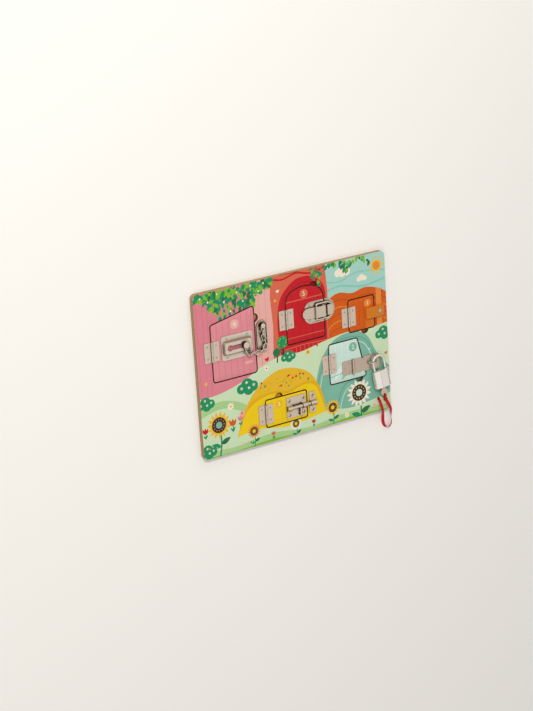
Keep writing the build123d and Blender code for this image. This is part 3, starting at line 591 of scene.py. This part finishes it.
def dotted(x0, x1, y0, y1, count, radius, name, apart=3.2):
    # dots at random places, apart radii from each other
    places, tries = [], 0
    while len(places) < count and tries < 400:
        tries += 1
        x, y = draws.uniform(x0, x1), draws.uniform(y0, y1)
        if all((x - a) ** 2 + (y - b) ** 2 > (apart * radius) ** 2 for a, b in places):
            places.append((x, y))
    return [(name, disc(x, y, radius, 12)) for x, y in places]


def daisy(x, y, r, petals, heart, count=8):
    out = [(petals, leaf(x, y, r, r * 0.46, 360 * i / count + 11)) for i in range(count)]
    return out + [(heart, disc(x, y, r * 0.27, 16))]


def tulip(x, y, h, head):
    cup = [(-0.22, 0.0), (-0.30, 0.24), (-0.26, 0.46), (-0.12, 0.28), (0, 0.5), (0.12, 0.28), (0.26, 0.46),
           (0.30, 0.24), (0.22, 0.0), (0.0, -0.08)]
    return [("Leaf", stroke([(x, y), (x + h * 0.02, y + h * 0.35), (x, y + h * 0.6)], h * 0.07)),
            ("Leaf", leaf(x, y + h * 0.06, h * 0.42, h * 0.14, 62)),
            ("Leaf", leaf(x, y + h * 0.06, h * 0.38, h * 0.14, 122)),
            (head, [(x + a * h, y + h * 0.55 + b * h) for a, b in reversed(cup)])]


def lollipop(x, y, r, crown, speck):
    # a round tree on a straight trunk
    out = [("Bark", stroke([(x, y - r * 2.4), (x + 0.6, y - r), (x, y)], r * 0.3)), (crown, disc(x, y, r))]
    return out + [(speck, leaf(x + 0.55 * r * cos(a), y + 0.55 * r * sin(a), r * 0.5, r * 0.22, degrees(a) + 60))
                  for a in (2.4 * i for i in range(7))]


def bush(x, y, w):
    out = [("Leaf", disc(x + dx * w, y + dy * w, r * w, 28)) for dx, dy, r in
           ((-0.32, 0, 0.24), (0, 0.12, 0.34), (0.34, 0.02, 0.25), (0.08, -0.08, 0.28))]
    for dx, dy in ((-0.3, 0.02), (-0.02, 0.26), (0.1, -0.02), (0.36, 0.08)):
        out += daisy(x + dx * w, y + dy * w, w * 0.09, "Cream", "Sun", 5)
    return out


def tuft(x, y, h):
    blades = ((-0.7, 0.8), (-0.12, 0), (0.12, 0), (0.7, 0.8), (0.1, 0.35), (0, 1), (-0.1, 0.35))
    return [(x + h * a, y + h * b) for a, b in blades]


def heart(x, y, size, turn=0.0, steps=22):
    c, d = cos(radians(turn)) * size / 32, sin(radians(turn)) * size / 32
    out = []
    for i in range(steps):
        t = -2 * pi * i / steps
        a, b = 16 * sin(t) ** 3, 13 * cos(t) - 5 * cos(2 * t) - 2 * cos(3 * t) - cos(4 * t)
        out.append((x + a * c - b * d, y + a * d + b * c))
    return out


def canopy(x0, x1, y0, y1, count, length, names, sagging):
    # hanging leaves, thickest at the top; sagging(x) gives how far down they reach
    out = []
    for i in range(count):
        x = draws.uniform(x0, x1)
        y = y1 - (y1 - y0) * sagging(x) * draws.random() ** 1.3
        size = length * draws.uniform(0.7, 1.15)
        out.append((names[draws.randrange(len(names))], leaf(x, y, size, size * 0.56, draws.uniform(215, 325))))
    return out


def sunflower(x, y, r, petals, core, dots, turn, count=15):
    out = [("Leaf", stroke([(x, y), (x + r * 0.12, y - r * 1.3), (x - r * 0.05, y - r * 2.4)], r * 0.13)),
           ("Moss", leaf(x + r * 0.1, y - r * 1.5, r * 0.9, r * 0.4, 24)),
           ("Leaf", leaf(x + r * 0.05, y - r * 1.7, r * 0.85, r * 0.38, 158))]
    places = around(x, y, 0.42 * r, count, turn)
    out += [(petals, leaf(a, b, r * 0.62, r * 0.27, facing)) for a, b, facing in places]
    out += [("Bark", disc(x, y, r * 0.6)), (core, disc(x, y, r * 0.26, 28))]
    return out + [(dots, disc(a, b, r * 0.045, 10)) for a, b, _ in around(x, y, 0.43 * r, 12)]


def hillLines(crest, drops, bend):
    # thin furrows that follow a hill's crest at the given depths below it
    out = []
    for i, (name, drop, width) in enumerate(drops):
        inner = [(x + (bend - x) * 0.006 * drop, y - drop - 1.5 * sin(x / 17 + i)) for x, y in crest]
        out.append((name, stroke(inner, width)))
    return out


def skyAndOrangeHill():
    art = [("Sky", bar(60, 206, 58, 156)),
           ("Wash", stroke([(60, 96), (100, 104), (150, 94), (206, 101)], 4)),
           ("Wash", stroke([(66, 118), (100, 112), (140, 122), (206, 114)], 2.6))]
    art += [("Cream", disc(x, y, r)) for x, y, r in
            ((98, 128, 7), (107, 132, 9), (117, 128, 7.5), (107, 126, 6.5), (142, 108, 4.5), (148, 110.5, 6),
             (155, 108, 4.5))]
    art += [("Sun", disc(181, 126, 11)), ("Amber", disc(181, 126, 7.4))]
    art += [("Sun", leaf(x, y, 5.6, 2.8, turn)) for x, y, turn in around(181, 126, 13, 12)]
    orange = [(58, 60), (76, 84), (98, 92), (126, 86), (154, 91), (182, 84), (206, 70)]
    art += [("Orange", under(orange, 2))]
    art += [("Rust", stroke([(x, y - d) for x, y in orange], 1.3)) for d in (13, 39, 65)]
    art += [("Amber", stroke([(x, y - d) for x, y in orange], 1.9)) for d in (26, 52)]
    return art + [("Amber", bar(177.5, 189, 4, 83)), ("Rust", bar(190.4, 191.4, 4, 80)),
                  ("Rust", bar(174.6, 176.4, 52, 70)), ("Rust", bar(174.6, 176.4, 16, 32))]


def pinkSide():
    pink = [(-150, -36), (-104, -24), (-88, -14), (-86, 40), (-84, 96), (-80, 130), (-76, 156)]
    art = [("Blush", [(-46, 156), (-43, 120), (-40, 60), (-43, 0), (-44, -8), (-95, -26), (-95, 156)]),
           ("Pink", [(-206, 156), (-206, -40)] + smooth(pink))]
    art += [("Rose", stroke([(x, -40), (x + 0.4, 40), (x, 156)], 0.55)) for x in (-196, -184, -174.5, -93)]
    return art + [("Pink", stroke([(x, -20), (x + 0.4, 40), (x, 156)], 0.7)) for x in (-70, -56.5)]


def redArch():
    arch = [(-30, 0), (-34, 60), (-26, 106), (0, 132), (24, 138), (48, 132), (68, 108), (69, 50), (68, 0)]
    innerArch = [(-22, 20), (-26, 70), (-14, 108), (24, 128), (60, 108), (66, 60), (63, 20)]
    art = [("Salmon", [(-46, 0), (-43, 60), (-46, 110), (-44, 156), (70, 156), (74, 100), (71, 50), (74, 0)]),
           ("Red", under(arch, -2)),
           ("Red", stroke([(-44, 146), (-20, 141), (10, 147), (40, 141), (72, 147)], 3.4)),
           ("Crimson", stroke([(-44, 152), (0, 149), (40, 152), (72, 150)], 1.2)),
           ("Crimson", stroke(innerArch, 1.1)), ("Salmon", stroke([(-30, 12), (20, 14), (69, 12)], 1.6))]
    return art + [("Salmon", stroke([(x, -2), (x, 12.5)], 1.1)) for x in range(-25, 68, 9)]


def rollingHills():
    pale = [(-206, -38), (-160, -36), (-112, -24), (-70, -6), (-30, 4), (10, 2), (60, 10), (110, 16), (150, 12),
            (206, 17)]
    green = [(-206, -60), (-160, -50), (-118, -62), (-88, -84), (-20, -110), (70, -102), (140, -108), (206, -92)]
    low = [(-206, -74), (-160, -64), (-118, -78), (-80, -104), (-20, -124), (70, -118), (140, -124), (206, -110)]
    art = [("Ground", under(pale, -156)), ("Meadow", under(green, -156)), ("Ground", under(low, -156))]
    teal = [(16, -124), (36, -72), (54, -22), (84, 8), (124, 14), (154, 0), (176, -40), (206, -74)]
    art += [("Teal", under(teal, -156))]
    art += hillLines(teal, [("Pine", 8, 1.2), ("Aqua", 17, 1.5), ("Pine", 92, 1.3), ("Aqua", 103, 1.5)], 110)
    return art + [(name, tuft(x, y, h)) for name, x, y, h in
                  (("Pine", 168, -60, 6), ("Aqua", 158, -28, 5), ("Pine", 60, -50, 6), ("Aqua", 150, -90, 5),
                   ("Pine", 48, -86, 6))]


def strawHill():
    straw = ("Gold", "Straw", "Amber", "Gold")
    yellow = [(-132, -130), (-112, -78), (-82, -42), (-44, -22), (-6, -24), (28, -42), (48, -78), (60, -124)]
    art = [("Straw", under(yellow, -140))]
    for i in range(90):
        x, y, turn = draws.uniform(-80, 20), draws.uniform(-64, -34), draws.uniform(0, 360)
        art.append((straw[i % 4], leaf(x, y, 5.5, 1.5, turn)))
    band = [(-124, -104), (-98, -67), (-60, -57), (-20, -63), (16, -55), (43, -65), (56, -102)]
    low = [(-130, -128), (-106, -80), (-62, -62), (-20, -68), (16, -60), (40, -71), (58, -124)]
    art += [("Gold", under(band, -112)), ("Yellow", under(low, -140))]
    art += hillLines(yellow, [("Gold", 92, 1.2)], -30)
    art += dotted(-76, 16, -52, -36, 7, 1.9, "Red") + dotted(-80, 20, -56, -38, 6, 1.5, "Leaf")
    art += dotted(-76, 16, -52, -36, 5, 1.3, "Lime")
    return art + [(name, leaf(x, y, 6.5, 3.2, turn)) for name, x, y, turn in
                  (("Leaf", -70, -46, 30), ("Red", -20, -36, 12), ("Lime", 8, -44, 150), ("Leaf", 22, -54, 60))]


def nearGrass():
    pale = [(-206, -118), (-150, -126), (-90, -120), (-20, -130), (60, -122), (120, -128), (206, -118)]
    green = [(-206, -134), (-140, -140), (-60, -134), (20, -142), (110, -135), (206, -140)]
    grass = [(-206, -146), (-140, -149), (-60, -145), (20, -150), (110, -145), (206, -149)]
    art = [("Ground", under(pale, -156)), ("Meadow", under(green, -156)), ("Lime", under(grass, -156))]
    for flower in ((-166, -92, 24, "Sun", "Teal", "Amber", 0.1), (131, -104, 26, "Cream", "Aqua", "Sun", 0.2),
                   (72, -118, 15, "Sun", "Yellow", "Amber", 0.0), (-96, -121, 13, "Amber", "Yellow", "Sun", 0.2),
                   (-8, -129, 12, "Cream", "Yellow", "Sun", 0.1)):
        art += sunflower(*flower)
    return art


def leavesAndFlowers():
    greens = ("Moss", "Leaf", "Lime", "Leaf", "Lime")
    art = canopy(-196, -46, 88, 151, 270, 12.5, greens, lambda x: 0.58 + 0.42 * cos((x + 120) / 24))
    art += [("Cream", disc(x, y, 1.7, 12)) for x, y in
            ((-186, 141), (-171, 132), (-152, 143), (-139, 126), (-127, 107), (-112, 138), (-101, 120),
             (-84, 144), (-69, 131), (-58, 143))]
    art += canopy(42, 64, 96, 151, 24, 9, ("Leaf", "Lime"), lambda x: 1 - abs(x - 53) / 16)
    art += canopy(72, 168, 132, 151, 44, 10.5, ("Leaf", "Lime", "Moss"), lambda x: 0.55 + 0.45 * cos(x / 9))
    art += lollipop(-26, 28, 11.5, "Leaf", "Lime") + lollipop(-39, 12, 8, "Moss", "Leaf")
    for place in ((-104, -38, 38), (-190, -50, 32), (190, -4, 32), (-16, -2, 27), (-192, -138, 32)):
        art += bush(*place)
    for flower in ((-194, -112, 20, "Red"), (-138, -112, 24, "Orange"), (-122, -104, 19, "Pink"),
                   (30, -144, 14, "Red"), (184, -118, 19, "Red"), (-56, -146, 15, "Salmon")):
        art += tulip(*flower)
    for flower in ((-140, -64, 8, "Cream", "Sun"), (-118, -82, 7, "Blush", "Orange"),
                   (26, -2, 5.5, "Sun", "Red"), (-62, -12, 6, "Cream", "Orange"),
                   (102, -140, 6, "Cream", "Sun"), (164, -136, 5, "Blush", "Sun")):
        art += daisy(*flower)
    art += [(n, heart(x, y, w, turn)) for n, x, y, w, turn in
            (("Red", -60, 4, 9, 12), ("Cream", -30, 122, 7, 10), ("Red", 46, 6, 5, -10),
             ("Salmon", 194, -42, 7, 8), ("Blush", 78, 104, 6, -12))]
    art += [("Sun", star(x, y, r)) for x, y, r in ((-36, 106, 3.6), (-186, -12, 4.5), (60, 84, 3.4))]
    return art + dotted(-196, -100, -144, -130, 8, 1.2, "Sun")


def boardPrint():
    # from the back to the front: what comes later lies over what came before
    art = skyAndOrangeHill() + pinkSide() + redArch() + rollingHills() + strawHill() + nearGrass()
    return [(ink[n], anticlockwise(loop)) for n, loop in art + leavesAndFlowers()]


boardSettings = dict(char=0.42, easing=0.2, sanded=0.35, numberSize=1.41, numberRise=0.03)


def boardSides(ground, outer, inner=sawnEdge):
    return dict(ground=ink[ground], outer=outer, inner=inner, back=bareBirch)


def printedSlab(name, outline, holes, motifs, low, high, sides, char=boardSettings["char"]):
    # one closed board: its top is cut into the print's regions, with a line browned by the laser along each cut
    sawn = sides["outer"] is sawnEdge
    loops = [outline] + [shape for _, shape in motifs]
    firstBrown = len(loops)
    if char:
        loops += [offsetLoop(hole, char) for hole in holes]
        if sawn:
            loops.append(offsetLoop(outline, -char))
    firstHole = len(loops)
    loops += holes
    if not sawn:
        loops.append(offsetLoop(outline, -boardSettings["sanded"]))     # gives the sanded outer edge its width
    flat, tris, _, owners = triangulate(loops, 1e-4)
    work = bmesh.new()
    upper = [work.verts.new((p.x * mm, p.y * mm, high * mm)) for p in flat]
    lower = [work.verts.new((p.x * mm, p.y * mm, low * mm)) for p in flat]
    below = dict(zip(upper, lower))
    slots = [sides["outer"], sides["inner"], sides["back"]]
    for tri, owner in zip(tris, owners):
        if 0 not in owner or any(firstHole <= i < firstHole + len(holes) for i in owner):
            continue
        shapes = [i for i in owner if 0 < i < firstBrown]
        colour = motifs[max(shapes) - 1][0] if shapes else sides["ground"]
        browned = firstHole - 1 not in owner if sawn else any(firstBrown <= i < firstHole for i in owner)
        if browned:
            colour = ink["Char"]
        if colour not in slots:
            slots.append(colour)
        work.faces.new([upper[i] for i in tri]).material_index = slots.index(colour)
        work.faces.new([lower[i] for i in reversed(tri)]).material_index = 2
    rim = [e.link_loops[0] for e in work.edges if e.is_boundary and e.verts[0] in below]
    for v in {corner.vert for corner in rim}:
        v.co.z -= boardSettings["easing"] * mm
    xs, ys = [p[0] for p in outline], [p[1] for p in outline]
    for a, b in [(corner.vert, corner.link_loop_next.vert) for corner in rim]:
        x, y = (a.co.x + b.co.x) / 2 / mm, (a.co.y + b.co.y) / 2 / mm
        outer = min(x - min(xs), max(xs) - x, y - min(ys), max(ys) - y) < 3
        work.faces.new([b, a, below[a], below[b]]).material_index = 0 if outer else 1
    for v in [v for v in work.verts if not v.link_faces]:
        work.verts.remove(v)
    work.normal_update()
    return meshFrom(work, name, slots, 28)


# boards and doors
faceLoops = topLoops("face_board")
bigHoles = [loop for loop in faceLoops[1:] if area(loop) > 15]          # not the small bores
face = printedSlab("face_print", faceLoops[0], bigHoles, boardPrint(), backTop, faceTop,
                   boardSides("Ground", boardEdge))
attach("face_print", face, "frame", "printed_board", "face_board")
behind = []
for x, y, name in ((150, 13, "Rust"), (133.8, -75.3, "Pine"), (-40.5, -70.5, "Gold"), (-81, 85, "Clay"),
                   (44.8, 117.1, "Crimson")):
    behind.append((ink[name], disc(x, y, 10)))          # what shows through the finger notches
for x, y, name in ((144, 43, "Sun"), (104, -36, "Red"), (-26, -96, "Leaf"), (-128, 44, "Salmon"),
                   (24, 68, "Teal")):
    behind += [(ink[name], star(x, y, 19)), (ink["Cream"], disc(x, y, 5.5))]
back = printedSlab("back_sheet", topLoops("back_panel")[0], [], behind, 0.0, backTop,
                   boardSides("Cream", backEdge, backEdge), char=0.0)
attach("back_sheet", back, "frame", "bare_plywood", "back_panel")

# each door: ground; planks of colour, width and places; badge of x, y, radius, disc and numeral; other shapes
doorSettings = {
    1: dict(ground="Orange", planks=("Rust", 0.7, (128.5, 139.5, 148.6)),
            badge=(158.5, 60.4, 7.4, "Amber", "Cream"),
            shapes=[("Tan", bar(153, 171.5, 14.2, 50)), ("Rust", bar(117, 149, 48.6, 49.2)),
                    ("Rust", bar(117, 149, 25, 25.6))]),
    2: dict(ground="Aqua", planks=("Mist", 1.0, (84, 97, 110)), badge=(122.2, -14.4, 8.6, "Teal", "Cream"),
            shapes=[("Mist", leaf(80, -68, 40, 9, 52)), ("Wash", leaf(94, -72, 26, 6, 48)),
                    ("Teal", stroke([(69, -62), (110, -58), (150, -64)], 1.4))]),
    3: dict(ground="Yellow", planks=("Gold", 0.6, (-56, -26, 4)), badge=(-41, -83.5, 7.5, "Sun", "Cream"),
            shapes=[("Gold", bar(-70, 19, -112.5, -111.6))]),
    4: dict(ground="DoorPink", planks=("Rose", 0.6, (-158, -145.5, -133, -120.5, -108, -95.5)),
            badge=(-121.3, 82.7, 8.7, "Blush", "Cream"),
            shapes=[("Blush", roundedBar(-105, -89, 5.5, 10.5, 2.5))]),
    5: dict(ground="Red", planks=("Crimson", 0.6, (-2, 11.5, 25, 38.5, 52)),
            badge=(23.8, 106.7, 8.4, "Salmon", "Cream"),
            shapes=[("Salmon", bar(-17, 66, 96.2, 98)), ("Salmon", bar(-17, 66, 30, 31.2))]),
}


def doorPrint(number):
    s = doorSettings[number]
    name, width, places = s["planks"]
    art = [(name, stroke([(x, -150), (x + 0.2, 0), (x, 150)], width)) for x in places] + s["shapes"]
    x, y, r, badge, _ = s["badge"]
    return [(ink[n], anticlockwise(loop)) for n, loop in art + [(badge, disc(x, y, r, 48))]]


def numeral(number, x, y, height, name):
    rise = boardSettings["numberRise"] / 2
    text = bpy.data.curves.new("numeral", "FONT")
    text.body, text.size, text.extrude = str(number), height * mm, rise * mm
    text.align_x, text.align_y = "CENTER", "CENTER"
    mesh = meshOf(text)
    xs, ys = ([v.co[axis] for v in mesh.vertices] for axis in (0, 1))
    mesh.transform(Matrix.Translation((x * mm - (min(xs) + max(xs)) / 2, y * mm - (min(ys) + max(ys)) / 2,
                                       (faceTop + rise) * mm)))
    mesh.materials.clear()
    mesh.materials.append(ink[name])
    return mesh


for number in doorNumbers:
    node = f"door_{number}"
    low, high = (corner[2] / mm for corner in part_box(node))
    door = printedSlab(f"door_{number}_print", topLoops(node)[0], [], doorPrint(number), low, high,
                       boardSides(doorSettings[number]["ground"], sawnEdge))
    attach(f"door_{number}_print", door, node, f"door_{number}_paint", node)
    x, y, r, _, name = doorSettings[number]["badge"]
    attach(f"door_{number}_numeral", numeral(number, x, y, r * boardSettings["numberSize"], name), node,
           f"door_{number}_paint")
print("print laid on the face board and", len(doorNumbers), "doors")

# screws: reach, width and lean of the cross are shares of the head's radius, and so is the first number of each of
# the dome's rings, with its corners after it; the other sizes are millimetres
screwSettings = dict(reach=0.52, width=0.24, lean=0.72, rings=((1.0, 32), (0.93, 32), (0.78, 24)), depth=0.9,
                     wearAndPaintedShade=0.3, smallest=1.5, flatBelow=0.3, lip=0.12, shank=1.0)


def driveHead(radius, dome, turn, depth):
    # cross-recess head: a shallow dome cut by a cross whose walls lean in
    s = screwSettings
    reach, half = radius * s["reach"], radius * s["width"] / 2
    plus, arm = [], [(half, half), (half, reach), (-half, reach)]
    for _ in range(4):
        plus += arm
        arm = [(-y, x) for x, y in arm]
    inner = [(x * s["lean"], y * s["lean"]) for x, y in plus]
    outside = [disc(0, 0, radius * share, corners) for share, corners in s["rings"]] + [plus]
    flat, tris, origins, _ = triangulate([anticlockwise(loop) for loop in outside + [inner]], 1e-6)
    innerStart = sum(len(loop) for loop in outside)
    c, d = cos(turn), sin(turn)
    points = []
    for p, origin in zip(flat, origins):
        share = min(1.0, p.length / radius)
        z = dome * (1 - share ** 2) if dome > s["flatBelow"] else -s["lip"] * max(0, (share - 0.9) / 0.1)
        if origin and max(origin) >= innerStart:
            z -= depth * radius / 3
        points.append(Vector((p.x * c - p.y * d, p.x * d + p.y * c, z)))
    return points, tris


def islands(node):
    # the points of each separate solid in a node, in millimetres, in order of place
    work = welded(node)
    groups, left = [], set(work.verts)
    while left:
        front = [left.pop()]
        group = list(front)
        while front:
            v = front.pop()
            fresh = {e.other_vert(v) for e in v.link_edges} & left
            left -= fresh
            front += fresh
            group += fresh
        groups.append([v.co / mm for v in group])
    work.free()
    return sorted(groups, key=lambda group: (round(min(p.x for p in group)), min(p.y for p in group)))


def screwPiece(name, node, body, depth=screwSettings["depth"]):
    made = bmesh.new()
    for group in islands(node):
        lo, hi = (Vector([pick(p[i] for p in group) for i in range(3)]) for pick in (min, max))
        middle, radius = (lo + hi) / 2, (hi.x - lo.x) / 2
        if radius < screwSettings["smallest"]:
            continue
        seat = min(p.z for p in group if (p - middle).xy.length > radius - 0.05)
        dome = hi.z - seat
        head, tris = driveHead(radius, dome, draws.uniform(0, pi), depth)
        sunk = dome < screwSettings["flatBelow"]
        top = hi.z if sunk else seat
        shell = [made.verts.new((p + Vector((middle.x, middle.y, top))) * mm) for p in head]
        for tri in tris:
            made.faces.new([shell[i] for i in tri])
        # the head's rim runs down to a smaller foot, and the foot is closed
        foot, low = (screwSettings["shank"], top - 1.0) if sunk else (radius * 0.97, seat - 0.02)
        rim = [(e.link_loops[0].vert, e.link_loops[0].link_loop_next.vert) for e in made.edges if e.is_boundary]
        below = {}
        for v, _ in rim:
            away = (v.co / mm - middle).xy.normalized() * foot
            below[v] = made.verts.new(Vector((middle.x + away.x, middle.y + away.y, low)) * mm)
        for a, b in rim:
            made.faces.new([b, a, below[a], below[b]])
        ring = sorted(below.values(), key=lambda v: atan2(v.co.y - middle.y * mm, v.co.x - middle.x * mm))
        made.faces.new(ring[::-1])
    made.normal_update()
    return attach(name, meshFrom(made, name, [screwNickel], 32), body, "screws", node)


screwPiece("board_screw_heads", "face_screws", "frame")
for number in doorNumbers:
    screwPiece(f"door_{number}_screw_heads", f"door_{number}_screws", f"door_{number}")
screwPiece("button_screw_head", "button_screw", "frame", screwSettings["wearAndPaintedShade"])
print("screw heads made")

# padlock body: drawn and ground in two planes that meet in a fine groove; millimetres from its left and its top.
# legs are the shackle's bores, by place and depth, and plugBore is the plug's, by place, radius and depth
padlockSettings = dict(origin=(0.159, -0.0511, 0.0178), tilt=9.0, left=-5.25, top=-18.6, width=34.0, thick=15.0,
                       height=34.0, chamfer=0.9, seam=13.1, slope=13.0, groove=0.6, legBore=2.45,
                       legs=((5.25, 24.4), (28.75, 8.4)), plugBore=(17.0, 5.55, 26.2))


def padlockProfile(grooved):
    s = padlockSettings
    half, seam, g = s["thick"] / 2, s["seam"], s["groove"]
    rise, fall = sin(radians(s["slope"])), cos(radians(s["slope"]))
    r = (seam * rise - half * fall) / (rise - 1)               # left rounding that meets the sloping plane

    def arc(x, radius, start, end, steps):
        turns = [radians(start + (end - start) * k / steps) for k in range(steps + 1)]
        return [(x + radius * cos(a), radius * sin(a)) for a in turns]

    slope = [(seam - away * fall, half - away * rise) for away in (g, 3.0, 7.5)]
    deep = half - (g if grooved else 0.0)
    front = [(s["width"] - half - 0.5, half), (seam + g, half), (seam, deep)] + slope
    return (arc(s["width"] - half, half, -90, 90, 28) + front + arc(r, r, 90 + s["slope"], 180, 20)
            + arc(half, half, 180, 270, 16)[1:] + [(half + 0.5, -half)])


def padlockShell(steps=32):
    s = padlockSettings
    c, d = cos(radians(s["tilt"])), sin(radians(s["tilt"]))
    work = bmesh.new()

    def place(x, y, z):
        x, y = x + s["left"], y + s["top"]
        return work.verts.new(Vector(s["origin"]) + Vector((x * c - y * d, x * d + y * c, z)) * mm)

    def bridge(one, two):
        for k in range(len(one)):
            n = (k + 1) % len(one)
            work.faces.new([one[k], one[n], two[n], two[k]])

    def cap(loop, ring, y, bores):
        # closes one end round its bores, each a closed-bottomed hole
        flat, tris, _, owners = triangulate([loop] + [disc(x, 0, r, steps) for x, r, _ in bores], 1e-5)
        points = ring + [place(p.x, y, p.y) for p in flat[len(ring):]]
        for tri, owner in zip(tris, owners):
            if set(owner) == {0}:
                work.faces.new([points[k] for k in tri])
        start = len(loop)
        for x, r, depth in bores:
            floor = [place(x + px, y - depth, pz) for px, pz in disc(0, 0, r, steps)]
            bridge(points[start:start + steps], floor)
            work.faces.new(floor)
            start += steps

    plain, cut = padlockProfile(False), padlockProfile(True)
    small = offsetLoop(plain, -s["chamfer"])
    levels = [(small, 0.0), (cut, -s["chamfer"]), (cut, s["chamfer"] - s["height"]), (small, -s["height"])]
    rings = [[place(x, y, z) for x, z in loop] for loop, y in levels]
    for one, two in zip(rings, rings[1:]):
        bridge(one, two)
    cap(small, rings[0], 0.0, [(x, s["legBore"], depth) for x, depth in s["legs"]])
    x, r, depth = s["plugBore"]
    cap(small, rings[-1], -s["height"], [(x, r, -depth)])
    bmesh.ops.recalc_face_normals(work, faces=work.faces)
    mesh = meshFrom(work, "padlockShell", [padlockChrome], 12)
    return attach("padlockShell", mesh, "padlock_body", "padlock_chrome", "padlock_body")


padlockShell()
print("padlock body made")

# pieces that keep their CAD shape, by the longest start of their name
finishes = {
    "hinge": hingeNickel, "hasp": haspNickel, "staple": wireNickel, "padlock_shackle": shackleChrome,
    "lock_plug": lockBrass, "key": keyNickel, "bolt": boltNickel, "chain": wireNickel, "chain_": guardNickel,
    "chain_hook_link": wireNickel, "toggle": toggleNickel, "toggle_loop": wireNickel,
    "button_washer": hingeNickel, "turn_button": ink["ButtonOrange"],
}
bare = []
for node, shape in nodes.items():
    if shape.hide_render:
        continue
    starts = [start for start in finishes if node.startswith(start)]
    if not starts:
        bare.append(node)
        continue
    shape.data.materials.clear()
    shape.data.materials.append(finishes[max(starts, key=len)])
    for polygon in shape.data.polygons:
        polygon.material_index = 0
    shadeSmooth(shape.data, 30)
print("finished:", len(nodes), "nodes; without a finish:", bare)
